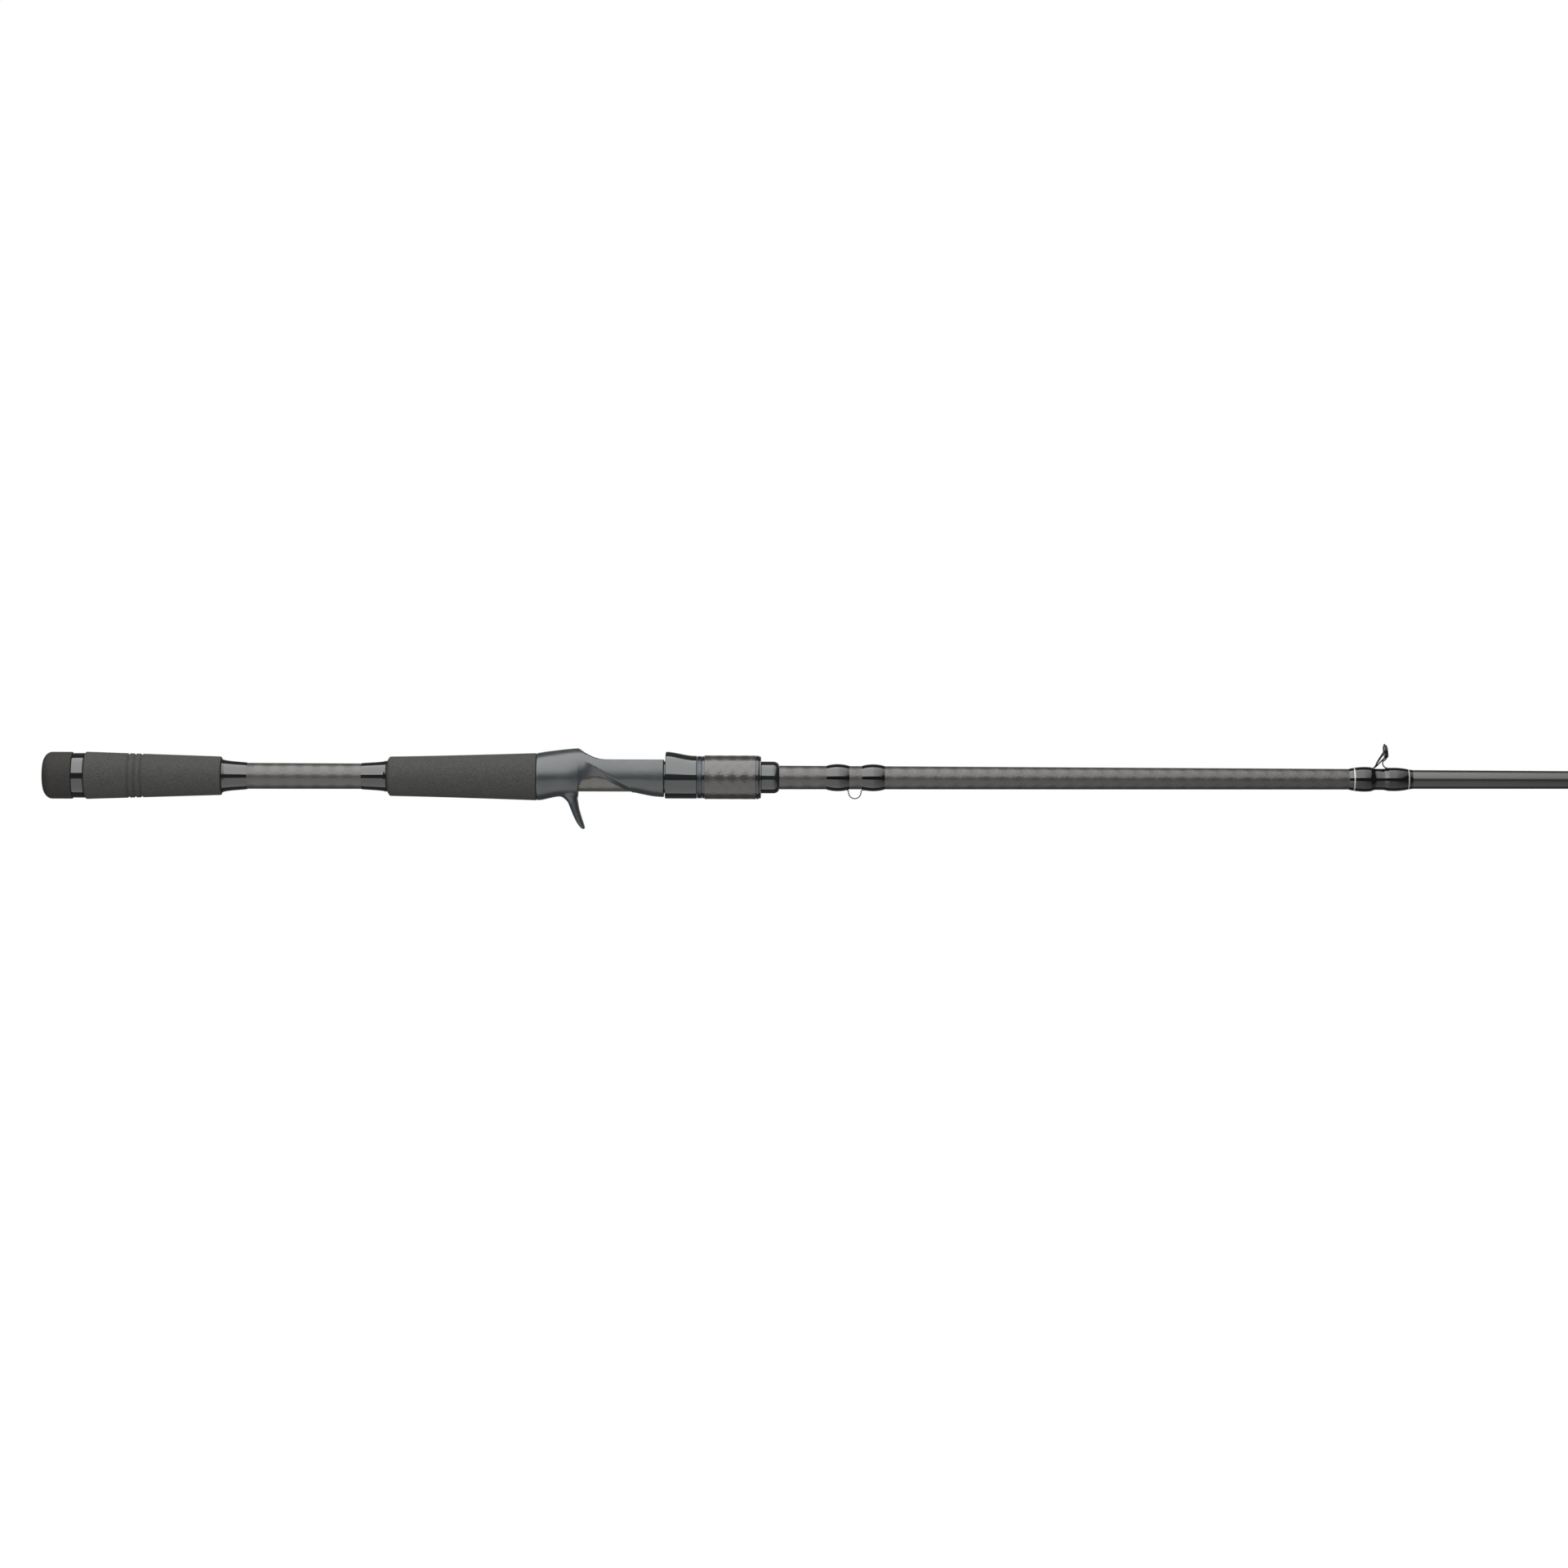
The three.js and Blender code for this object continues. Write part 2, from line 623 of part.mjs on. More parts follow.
// A thread wrap over one foot of the hook keeper. side is -1 for the wrap towards the butt, +1 for the other.
function makeKeeperWrap(side) {
  const { length, gap, thickness } = keeperWrap;
  const near = keeper.at + (side * gap) / 2;
  const far = near + side * length;
  const start = Math.min(near, far);
  const shape = [[0, 0.15], [0.12, 0.45], [0.3, 0.85], [0.6, 1], [0.85, 0.6], [1, 0.15]];
  const outer = shape.map(([share, rise]) => {
    const x = start + share * length;
    return [x, onSleeve(x) + rise * thickness];
  });
  const inward = near - side;
  const deep = near + side * (keeper.loop + keeper.footLength - gap / 2 + 2 * endGap);
  const channel = box(
    [Math.min(inward, deep), -keeper.wire - glue, keeperBase - keeper.wire - glue],
    [Math.max(inward, deep), keeper.wire + glue, -1],
  );
  return solid(tube(outer, onSleeve, blankSides)).subtract(solid(channel));
}

// ---------------------------------------------------------------- guides

// Where each guide stands and how big it is, first to last.
function guidePlan() {
  const { count, firstAt, spacingRatio, firstHoop, smallestHoop, shrink } = guides;
  const tip = blank.length;
  const total = (spacingRatio ** count - 1) / (spacingRatio - 1);
  const lastGap = (tip - firstAt) / total;
  const made = [];
  for (let i = 0, x = firstAt; i < count; i++) {
    const hoop = Math.max(smallestHoop, firstHoop * shrink ** i);
    made.push({ x, scale: hoop / firstHoop, hoop });
    x += lastGap * spacingRatio ** (count - 1 - i);
  }
  return made;
}

const surfaceAt = (x) => (x < plan.sleeveEnd ? sleeveRadius(x) : blankRadius(x));

// A ring or hoop whose axis leans from the rod's axis, with its centre at [x, z].
const leaning = (geometry, x, z, degrees) =>
  geometry.rotateY(THREE.MathUtils.degToRad(-degrees)).translate(x, 0, z);

function hoopCentre({ x, scale }) {
  return [x + guides.reach * scale, surfaceAt(x) + guides.rise * scale];
}

// A curved plate that follows the rod: from one radius over its surface to another, across the width.
function saddle(from, to, low, high, width) {
  const [start, end] = [Math.min(from, to), Math.max(from, to)];
  const base = surfaceAt(start);
  const [inside, outside] = [base + low, base + high];
  const ring = turned([[start, inside], [start, outside], [end, outside], [end, inside]], blankSides);
  return solid(ring).intersect(solid(box([start - 1, -width / 2, 0], [end + 1, width / 2, 40])));
}

// A flat foot under a wrap, from the leg's root outwards, resting just over the rod.
function makeFoot({ x, scale }, side) {
  const { footStart, footLength, footWidth, footThickness } = guides;
  const root = x + side * footStart * scale;
  return saddle(root, root + side * footLength * scale, glue, glue + footThickness, footWidth * scale);
}

function makeGuideFrame(guide) {
  const { x, scale, hoop } = guide;
  const [cx, cz] = hoopCentre(guide);
  const thick = guides.wire * Math.sqrt(scale);
  const base = surfaceAt(x - guides.footStart * scale) + glue + guides.footThickness;
  const hoopRadius = hoop - thick;
  const ringGeometry = new THREE.TorusGeometry(hoopRadius, thick, 4, ringSides).rotateY(Math.PI / 2);
  const frame = [leaning(ringGeometry, cx, cz, guides.lean)];
  const at = (px, py, pz) => [x + px * scale, py * scale, base + pz * scale];
  for (const side of [-1, 1]) {
    const low = [cx + 0.5 * scale, side * hoopRadius * 0.62, cz - hoopRadius * 0.78];
    const high = [cx - 0.4 * scale, side * hoopRadius, cz - hoopRadius * 0.1];
    frame.push(wire([at(-4.2, side * 0.5, 0), at(-1.6, side * 2.2, 3.9), high], thick * 0.85, 4, 3));
    frame.push(wire([at(-4, side * 0.45, 0), at(0.2, side * 1.7, 3.6), low], thick * 0.75, 4, 3));
  }
  const bottom = [cx + 0.6 * scale, 0, cz - hoopRadius];
  const leg = [bottom, at(2.1, 0, 4.4), at(1.7, 0, 2.9), at(2.5, 0, 1.2), at(4.4, 0, 0)];
  frame.push(wire(leg, thick * 0.85, 4, 6));
  return union(...frame).add(makeFoot(guide, -1)).add(makeFoot(guide, 1));
}

function makeGuideRing(guide) {
  const [cx, cz] = hoopCentre(guide);
  const outer = guide.hoop - 2 * guides.wire * Math.sqrt(guide.scale) - glue;
  const [width, wall] = [guides.ringWidth * guide.scale, guides.ringWall * Math.sqrt(guide.scale)];
  const profile = [
    [-width / 2, outer],
    [width / 2, outer],
    [width / 4, outer - wall],
    [-width / 4, outer - wall],
  ];
  return leaning(turned(profile, ringSides), cx, cz, guides.lean);
}

// The thread and epoxy over both feet: two humps with a neck between them where the frame stands.
function makeGuideWrap(guide) {
  const { x, scale } = guide;
  const { wrapBefore, wrapAfter, wrapThickness, footStart, footLength, footWidth, footThickness } = guides;
  const shape = [
    [-wrapBefore, 0.1],
    [-wrapBefore * 0.65, 0.95],
    [-wrapBefore * 0.28, 0.85],
    [-3, 0.17],
    [4.4, 0.17],
    [wrapAfter * 0.26, 1],
    [wrapAfter * 0.6, 0.95],
    [wrapAfter, 0.07],
  ].map(([at, share]) => [x + at * scale, share * wrapThickness]);
  const over = (at) => surfaceAt(at) + glue;
  const outer = shape.map(([at, rise]) => [at, over(at) + rise]);
  const [first, last] = [outer[0][0], outer.at(-1)[0]];
  const step = x + (sleeve.pastGuide + 2 * endGap) * scale;
  const stepsDown = first < plan.sleeveEnd && last > plan.sleeveEnd;
  const turnIn = stepsDown ? [[step, over(step)], [step, over(plan.sleeveEnd - endGap)]] : [];
  let made = solid(turned([...outer, [last, over(last)], ...turnIn, [first, over(first)]], blankSides));
  for (const side of [-1, 1]) {
    const root = x + side * (footStart - 1.2) * scale;
    const end = x + side * (footStart + footLength + 2 * endGap) * scale;
    made = made.subtract(saddle(root, end, -1, 2 * glue + footThickness, (footWidth + 4 * glue) * scale));
  }
  const clear = surfaceAt(x) + glue + 0.3 * scale;
  const notch = box([x - 6.2 * scale, -1.6 * scale, clear], [x + 6.2 * scale, 1.6 * scale, 40]);
  return made.subtract(solid(notch));
}

// ---------------------------------------------------------------- tip-top

const tipTube = { start: blank.length - tipTop.tubeLength };
tipTube.bore = blankRadius(tipTube.start) + glue;
tipTube.radius = tipTube.bore + tipTop.tubeWall;
const tipCentre = [blank.length + 3.2, tipTube.radius + tipTop.rise];

const makeTipTube = () =>
  turned([
    [tipTube.start, tipTube.radius],
    [blank.length + 1.2, tipTube.radius],
    [blank.length + 1.6, tipTube.radius - 0.4],
    [blank.length + 1.6, 0],
    [blank.length + 0.4, 0],
    [blank.length + 0.4, tipTube.bore],
    [tipTube.start, tipTube.bore],
  ], ringSides);

function makeTipFrame() {
  const [cx, cz] = tipCentre;
  const middle = tipTop.hoop - tipTop.wire;
  const hoopGeometry = new THREE.TorusGeometry(middle, tipTop.wire, 4, ringSides).rotateY(Math.PI / 2);
  const made = [leaning(hoopGeometry, cx, cz, 0)];
  const seatTop = tipTube.radius + glue + tipTop.wire;
  for (const side of [-1, 1])
    made.push(wire([
      [tipTube.start + 2, side * 0.35, seatTop],
      [tipTube.start + 7, side * 0.9, seatTop + 0.5],
      [cx - 0.3, side * middle, cz],
    ], tipTop.wire * 0.9, 4, 4));
  made.push(wire([
    [tipTube.start + 2, 0, seatTop],
    [tipTube.start + 8, 0, seatTop],
    [cx - 1.6, 0, seatTop],
    [cx, 0, cz - middle],
  ], tipTop.wire * 0.9, 4, 6));
  return union(...made);
}

function makeTipRing() {
  const outer = tipTop.hoop - 2 * tipTop.wire - glue;
  const profile = [[-0.75, outer], [0.75, outer], [0.4, outer - 0.8], [-0.4, outer - 0.8]];
  return leaning(turned(profile, ringSides), ...tipCentre, 0);
}

function makeTipWrap() {
  const [start, end] = [tipTube.start - tipTop.wrapLength, tipTube.start - endGap];
  const surface = (x) => blankRadius(x) + glue;
  const thick = tipTop.wrapThickness;
  const outer = [[start, 0.1], [start + 1.5, thick], [end - 0.6, thick], [end, 0.25]];
  return tube(outer.map(([x, rise]) => [x, surface(x) + rise]), surface, blankSides);
}

// ---------------------------------------------------------------- assembly

const rod = new THREE.Group();

function add(parent, name, shape, finish) {
  const mesh = new THREE.Mesh(shape.isBufferGeometry ? shape : geometryOf(shape), finish);
  mesh.name = name;
  parent.add(mesh);
}

add(rod, "blank", outward(makeBlank()), mattBlank);
add(rod, "butt_sleeve", outward(makeSleeve()), wovenCarbon);
add(rod, "butt_cap", outward(makeButtCap()), foam);
add(rod, "butt_ring", outward(makeButtRing()), glossBlack);
add(rod, "rear_grip", outward(makeRearGrip()), foam);
add(rod, "rear_grip_trim", outward(makeTrimCone(plan.rearTrim, -1, trimCone.rearRim)), glossBlack);
add(rod, "main_grip_trim", outward(makeTrimCone(plan.mainTrim, 1, trimCone.frontRim)), glossBlack);
add(rod, "main_grip", outward(makeMainGrip()), foam);
add(rod, "seat_arbor", outward(makeArbor()), wovenCarbon);
add(rod, "reel_seat", makeReelSeat(), seatPaint);
add(rod, "threaded_barrel", makeBarrel(), nutPlastic);
add(rod, "front_collar", outward(makeFrontCollar()), glossBlack);
add(rod, "hook_keeper", makeKeeper(), frameSteel);
add(rod, "keeper_wrap_rear", makeKeeperWrap(-1), threadWrap);
add(rod, "keeper_wrap_front", makeKeeperWrap(1), threadWrap);
guidePlan().forEach((guide, i) => {
  add(rod, `guide_${i + 1}_frame`, makeGuideFrame(guide), frameSteel);
  add(rod, `guide_${i + 1}_ring`, outward(makeGuideRing(guide)), ringCeramic);
  add(rod, `guide_${i + 1}_wrap`, makeGuideWrap(guide), threadWrap);
});
add(rod, "tip_tube", outward(makeTipTube()), frameSteel);
add(rod, "tip_frame", makeTipFrame(), frameSteel);
add(rod, "tip_ring", outward(makeTipRing()), ringCeramic);
add(rod, "tip_wrap", outward(makeTipWrap()), threadWrap);

const slidingHood = new THREE.Group();
add(slidingHood, "moving_hood", makeHood(), hoodBlack);
add(slidingHood, "hood_bush", makeHoodBush(), nutPlastic);
rod.add(slidingHood);

const lockNut = new THREE.Group();
add(lockNut, "nut_ring", outward(makeNutRing()), anodised);
add(lockNut, "nut_core", makeNutCore(), nutPlastic);
add(lockNut, "nut_sleeve", outward(makeNutSleeve()), wovenCarbon);
add(lockNut, "nut_nose", outward(makeNutNose()), glossBlack);
rod.add(lockNut);

export default rod;
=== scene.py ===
import math

import bmesh
import bpy
from mathutils import Matrix, Vector


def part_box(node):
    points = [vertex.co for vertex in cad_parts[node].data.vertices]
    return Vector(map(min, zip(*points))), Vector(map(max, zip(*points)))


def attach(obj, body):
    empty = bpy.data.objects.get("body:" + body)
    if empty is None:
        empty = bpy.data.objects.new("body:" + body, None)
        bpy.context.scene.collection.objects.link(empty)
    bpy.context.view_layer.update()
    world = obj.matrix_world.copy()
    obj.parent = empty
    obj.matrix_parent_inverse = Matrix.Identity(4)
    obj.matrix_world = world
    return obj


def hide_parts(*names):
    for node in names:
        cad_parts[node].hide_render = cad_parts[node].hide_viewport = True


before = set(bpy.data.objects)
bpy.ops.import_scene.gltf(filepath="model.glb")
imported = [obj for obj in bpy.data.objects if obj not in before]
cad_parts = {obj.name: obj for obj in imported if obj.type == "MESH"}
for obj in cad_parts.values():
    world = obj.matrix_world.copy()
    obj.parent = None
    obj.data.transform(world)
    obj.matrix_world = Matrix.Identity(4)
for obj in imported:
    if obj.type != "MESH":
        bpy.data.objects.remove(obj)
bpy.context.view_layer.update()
print("frame loaded:", len(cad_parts), "nodes")

mm = 0.001  # sizes below are in millimetres, meshes are in metres


# The first and last place of a CAD node along the rod.
def reach(node):
    low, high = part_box(node)
    return low.x / mm, high.x / mm


# A smooth value from a table of [place, value] rows.
def follow(table, at):
    if at <= table[0][0]:
        return table[0][1]
    for i in range(len(table) - 1):
        (x0, y0), (x1, y1) = table[i], table[i + 1]
        if at <= x1:
            before = table[i - 1] if i else (2 * x0 - x1, 2 * y0 - y1)
            after = table[i + 2] if i + 2 < len(table) else (2 * x1 - x0, 2 * y1 - y0)
            slope0 = (y1 - before[1]) / (x1 - before[0]) * (x1 - x0)
            slope1 = (after[1] - y0) / (after[0] - x0) * (x1 - x0)
            t = (at - x0) / (x1 - x0)
            return (
                (2 * t**3 - 3 * t**2 + 1) * y0
                + (t**3 - 2 * t**2 + t) * slope0
                + (3 * t**2 - 2 * t**3) * y1
                + (t**3 - t**2) * slope1
            )
    return table[-1][1]


def ease(low, high, value):
    t = min(1, max(0, (value - low) / (high - low)))
    return t * t * (3 - 2 * t)


def evenly(first, last, count):
    return [first + (last - first) * i / (count - 1) for i in range(count)]


# Points on a quarter round from one [x, radius] corner side to the other, bulging towards the corner.
def quarter(start, corner, end, count=6):
    points = []
    for i in range(count + 1):
        turn = math.pi / 2 * i / count
        a, b = 1 - math.sin(turn), 1 - math.cos(turn)
        points.append(tuple(c + (s - c) * a + (e - c) * b for s, c, e in zip(start, corner, end)))
    return points


# The round at the butt end of a piece of one radius, and the one at its tip end.
def rearEdge(start, radius, edge, count=4):
    return quarter((start, radius - edge), (start, radius), (start + edge, radius), count)


def frontEdge(end, radius, edge, count=4):
    return quarter((end - edge, radius), (end, radius), (end, radius - edge), count)


# A solid turned about the rod's axis. An open profile starts and ends on the axis.
def turned(profile, steps=96, closed=True):
    bm = bmesh.new()
    points = [bm.verts.new((x * mm, 0, r * mm)) for x, r in profile]
    pairs = list(zip(points, points[1:])) + ([(points[-1], points[0])] if closed else [])
    edges = [bm.edges.new(pair) for pair in pairs]
    bmesh.ops.spin(
        bm, geom=points + edges, cent=(0, 0, 0), axis=(1, 0, 0), angle=2 * math.pi,
        steps=steps, use_merge=True,
    )
    bmesh.ops.remove_doubles(bm, verts=bm.verts, dist=1e-7)
    bmesh.ops.recalc_face_normals(bm, faces=bm.faces)
    return bm


# A skin through rings across the rod. shape(station, turn) gives a point in millimetres; ends are capped, or
# the last ring is joined to the first.
def lofted(stations, shape, sides=96, loop=False):
    bm = bmesh.new()
    turnOf = bm.verts.layers.float.new("turnOf")
    ring = bmesh.ops.create_circle(bm, segments=sides, radius=1)["verts"]
    for vert in ring:
        vert[turnOf] = math.atan2(vert.co.y, vert.co.x)
    firstEdges = edges = list(bm.edges)
    for i, station in enumerate(stations):
        if i:
            made = bmesh.ops.extrude_edge_only(bm, edges=edges)["geom"]
            ring = [part for part in made if isinstance(part, bmesh.types.BMVert)]
            known = set(ring)
            edges = [
                part for part in made
                if isinstance(part, bmesh.types.BMEdge) and all(vert in known for vert in part.verts)
            ]
        for vert in ring:
            vert.co = Vector(shape(station, vert[turnOf])) * mm
    if loop:
        bmesh.ops.bridge_loops(bm, edges=edges + firstEdges)
    else:
        bmesh.ops.holes_fill(bm, edges=bm.edges)
    bm.verts.layers.float.remove(turnOf)
    bmesh.ops.recalc_face_normals(bm, faces=bm.faces)
    return bm


# The section of a ring whose middle stands radius from its axis: an oval of half width and half height.
def ovalSection(radius, halfWidth, halfHeight, count=16, middle=0):
    points = []
    for i in range(count):
        turn = 2 * math.pi * i / count
        points.append((middle + halfWidth * math.cos(turn), radius + halfHeight * math.sin(turn)))
    return points


def objectOf(bm, name):
    mesh = bpy.data.meshes.new(name)
    bm.to_mesh(mesh)
    bm.free()
    made = bpy.data.objects.new(name, mesh)
    bpy.context.scene.collection.objects.link(made)
    return made


# The piece's mesh becomes what its modifiers make of it.
def settle(piece):
    graph = bpy.context.evaluated_depsgraph_get()
    piece.data = bpy.data.meshes.new_from_object(piece.evaluated_get(graph))
    piece.modifiers.clear()


def combine(piece, other, operation):
    step = piece.modifiers.new("combine", "BOOLEAN")
    step.operation = operation
    step.solver = "EXACT"
    step.object = other
    settle(piece)
    bpy.data.objects.remove(other)


# A round wire on a smooth line through points in millimetres.
def wire(points, radius, name="wire", sides=3, steps=6):
    line = bpy.data.curves.new(name, "CURVE")
    line.dimensions = "3D"
    line.bevel_depth = radius * mm
    line.bevel_resolution = sides
    line.resolution_u = steps
    line.use_fill_caps = True
    spline = line.splines.new("BEZIER")
    spline.bezier_points.add(len(points) - 1)
    for knot, point in zip(spline.bezier_points, points):
        knot.co = Vector(point) * mm
        knot.handle_left_type = knot.handle_right_type = "AUTO"
    drawn = bpy.data.objects.new(name, line)
    bpy.context.scene.collection.objects.link(drawn)
    graph = bpy.context.evaluated_depsgraph_get()
    mesh = bpy.data.meshes.new_from_object(drawn.evaluated_get(graph))
    bpy.data.objects.remove(drawn)
    bm = bmesh.new()
    bm.from_mesh(mesh)
    bmesh.ops.remove_doubles(bm, verts=bm.verts, dist=1e-7)
    bmesh.ops.holes_fill(bm, edges=bm.edges)
    bmesh.ops.recalc_face_normals(bm, faces=bm.faces)
    return objectOf(bm, name)


# Smooth shading with crisp edges, the materials, the body it rides on, and the CAD node it stands for, which
# is hidden.
def finishPiece(piece, body, materials, node, crisp=32):
    mesh = piece.data
    mesh.materials.clear()
    for material in materials:
        mesh.materials.append(material)
    mesh.polygons.foreach_set("use_smooth", [True] * len(mesh.polygons))
    mesh.set_sharp_from_angle(angle=math.radians(crisp))
    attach(piece, body)
    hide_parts(node)



# A piece turned about the rod's axis, with its finish.
def turnedPiece(name, profile, body, material, node, steps=96, closed=True):
    finishPiece(objectOf(turned(profile, steps, closed), name), body, [material], node)


def linear(code):
    parts = [int(code[i:i + 2], 16) / 255 for i in (1, 3, 5)]
    return (*[c / 12.92 if c <= 0.04045 else ((c + 0.055) / 1.055) ** 2.4 for c in parts], 1)


# What is linked may be a socket, or a node, which then gives its first output.
def outputOf(source):
    return source.outputs[0] if isinstance(source, bpy.types.Node) else source


def addNode(material, kind, inputs, **settings):
    node = material.node_tree.nodes.new("ShaderNode" + kind)
    for name, value in settings.items():
        setattr(node, name, value)
    for name, value in inputs.items():
        value = outputOf(value)
        if isinstance(value, bpy.types.NodeSocket):
            material.node_tree.links.new(value, node.inputs[name])
        else:
            node.inputs[name].default_value = value
    return node


colourA, colourB, colourOut = 6, 7, 2  # a Mix node's sockets when it mixes colours


# A material with plain values on its shader. Links are added by the function that asked for it.
def newMaterial(name, **values):
    material = bpy.data.materials.new(name)
    material.use_nodes = True
    shader = material.node_tree.nodes["Principled BSDF"]
    for socket, value in values.items():
        shader.inputs[socket.replace("_", " ")].default_value = value
    return material, shader


def connect(material, shader, **sources):
    for socket, source in sources.items():
        material.node_tree.links.new(outputOf(source), shader.inputs[socket.replace("_", " ")])


# A colour that runs from dark to light as a pattern's value goes from low to high.
def colourBetween(material, pattern, low, high, dark, light):
    share = addNode(
        material, "MapRange", {"Value": pattern, "From Min": low, "From Max": high, "To Min": 0, "To Max": 1}
    )
    colours = {0: share, colourA: linear(dark), colourB: linear(light)}
    return addNode(material, "Mix", colours, data_type="RGBA").outputs[colourOut]


# Closed-cell foam, turned and ground on a belt: dull, with a fine open grain that breaks up the light. The
# grain is drawn coarser than the real cells, which are about 0.3 mm, so that it shows.
def groundFoam(name, dark, light, grainSize, depth):
    material, shader = newMaterial(name, Roughness=0.85, IOR=1.45, Specular_IOR_Level=0.3)
    place = addNode(material, "TexCoord", {}).outputs["Object"]
    grain = addNode(
        material, "TexNoise", {"Vector": place, "Scale": 1 / (grainSize * mm), "Detail": 3, "Roughness": 0.6}
    )
    colour = colourBetween(material, grain, 0.36, 0.64, dark, light)
    bump = addNode(material, "Bump", {"Height": grain, "Strength": depth, "Distance": 0.12 * mm})
    connect(material, shader, Base_Color=colour, Normal=bump)
    return material


# Injection-moulded and polished plastic: a mirror-like skin, faintly wavy, with fine wiping marks.
def polishedPlastic(name, colour, roughness):
    material, shader = newMaterial(name, Base_Color=linear(colour), IOR=1.5)
    place = addNode(material, "TexCoord", {}).outputs["Object"]
    waves = addNode(material, "TexNoise", {"Vector": place, "Scale": 1 / (7 * mm), "Detail": 1})
    wiped = addNode(
        material, "TexNoise", {"Vector": place, "Scale": 1 / (1.2 * mm), "Detail": 4, "Roughness": 0.7}
    )
    rough = addNode(
        material, "MapRange",
        {"Value": wiped, "From Min": 0.3, "From Max": 0.7,
         "To Min": roughness * 0.7, "To Max": roughness * 1.4},
    )
    bump = addNode(material, "Bump", {"Height": waves, "Strength": 0.2, "Distance": 0.06 * mm})
    connect(material, shader, Roughness=rough, Normal=bump)
    return material


# Spread-tow carbon in a plain weave under a satin clear coat: flat tows, over and under by turns, never quite
# even, with fibre streaks along them. They mostly show as short dashes where a reflection ends.
def wovenCarbon(name, dark, light, radius, tow, roughness, crown):
    material, shader = newMaterial(name, IOR=1.5)
    around = 2 * round(math.pi * radius / tow)  # an even number of tows closes the pattern
    place = addNode(material, "TexCoord", {}).outputs["Object"]
    parts = addNode(material, "SeparateXYZ", {"Vector": place})
    turn = addNode(material, "Math", {0: parts.outputs["Y"], 1: parts.outputs["Z"]}, operation="ARCTAN2")
    along = addNode(material, "Math", {0: parts.outputs["X"], 1: 1 / (tow * mm)}, operation="MULTIPLY")
    across = addNode(material, "Math", {0: turn, 1: around / (2 * math.pi)}, operation="MULTIPLY")
    cell = addNode(material, "CombineXYZ", {"X": along, "Y": across, "Z": 0.5})
    weave = addNode(
        material, "TexChecker",
        {"Vector": cell, "Color1": (1, 1, 1, 1), "Color2": (0, 0, 0, 1), "Scale": 1},
    )
    crowns = []
    for direction in (along, across):
        phase = addNode(material, "Math", {0: direction, 1: math.pi}, operation="MULTIPLY")
        wave = addNode(material, "Math", {0: phase}, operation="SINE")
        crowns.append(addNode(material, "Math", {0: wave, 1: 2}, operation="POWER"))
    pillow = addNode(material, "Math", {0: crowns[0], 1: crowns[1]}, operation="MULTIPLY")
    lift = addNode(material, "Math", {0: weave.outputs["Fac"], 1: 1.3, 2: -0.5}, operation="MULTIPLY_ADD")
    tows = addNode(material, "Math", {0: pillow, 1: lift}, operation="MULTIPLY")
    uneven = addNode(material, "TexNoise", {"Vector": cell, "Scale": 2.6, "Detail": 3})
    height = addNode(material, "Math", {0: uneven, 1: 0.7, 2: tows}, operation="MULTIPLY_ADD")
    streaks = []
    for fibres in ((0.8, 11, 1), (11, 0.8, 1)):  # fine across a tow and long down it, for either direction
        stretched = addNode(material, "Mapping", {"Vector": cell, "Scale": fibres})
        streaks.append(addNode(material, "TexNoise", {"Vector": stretched, "Scale": 1, "Detail": 3}))
    streak = addNode(material, "Mix", {0: weave.outputs["Fac"], 2: streaks[0], 3: streaks[1]})
    # The colour is the fibre streaks' own tone plus a slight painted sheen: the tows running round the rod
    # are a shade lighter than those running along it.
    tone = addNode(material, "Math", {0: weave.outputs["Fac"], 1: 0.03, 2: streak}, operation="MULTIPLY_ADD")
    colour = colourBetween(material, tone, 0.25, 0.85, dark, light)
    relief = addNode(material, "Math", {0: streak, 1: 0.12, 2: height}, operation="MULTIPLY_ADD")
    bump = addNode(material, "Bump", {"Height": relief, "Strength": 1, "Distance": crown * mm})
    # Tows running round the tube spread a highlight more than those running along it.
    spread = addNode(
        material, "MapRange",
        {"Value": weave.outputs["Fac"], "From Min": 0, "From Max": 1,
         "To Min": roughness * 0.9, "To Max": roughness * 1.12},
    )
    connect(material, shader, Base_Color=colour, Roughness=spread, Normal=bump)
    return material


# Sprayed satin paint: fine flake in a dark ground under a soft clear coat, which breaks up the highlight a
# little. The flake is drawn at 0.5 mm, coarser than the real one, so that it shows.
def satinPaint(name, dark, light, roughness, flakes, gloss=1.5):
    material, shader = newMaterial(name, IOR=gloss)
    place = addNode(material, "TexCoord", {}).outputs["Object"]
    flake = addNode(material, "TexVoronoi", {"Vector": place, "Scale": 1 / (0.5 * mm)})
    cloud = addNode(material, "TexNoise", {"Vector": place, "Scale": 1 / (12 * mm), "Detail": 3})
    grey = addNode(material, "RGBToBW", {"Color": flake.outputs["Color"]})
    tone = addNode(material, "Math", {0: grey, 1: 0.2 * flakes, 2: cloud}, operation="MULTIPLY_ADD")
    colour = colourBetween(material, tone, 0.4, 0.95, dark, light)
    rough = addNode(
        material, "MapRange",
        {"Value": grey, "From Min": 0, "From Max": 1,
         "To Min": roughness * (1 - 0.15 * flakes), "To Max": roughness * (1 + 0.2 * flakes)},
    )
    peel = addNode(material, "TexNoise", {"Vector": place, "Scale": 1 / (1.6 * mm), "Detail": 2})
    skin = addNode(material, "Math", {0: grey, 1: 0.1 * flakes, 2: peel}, operation="MULTIPLY_ADD")
    bump = addNode(material, "Bump", {"Height": skin, "Strength": 0.3, "Distance": 0.04 * mm})
    connect(material, shader, Base_Color=colour, Roughness=rough, Normal=bump)
    return material


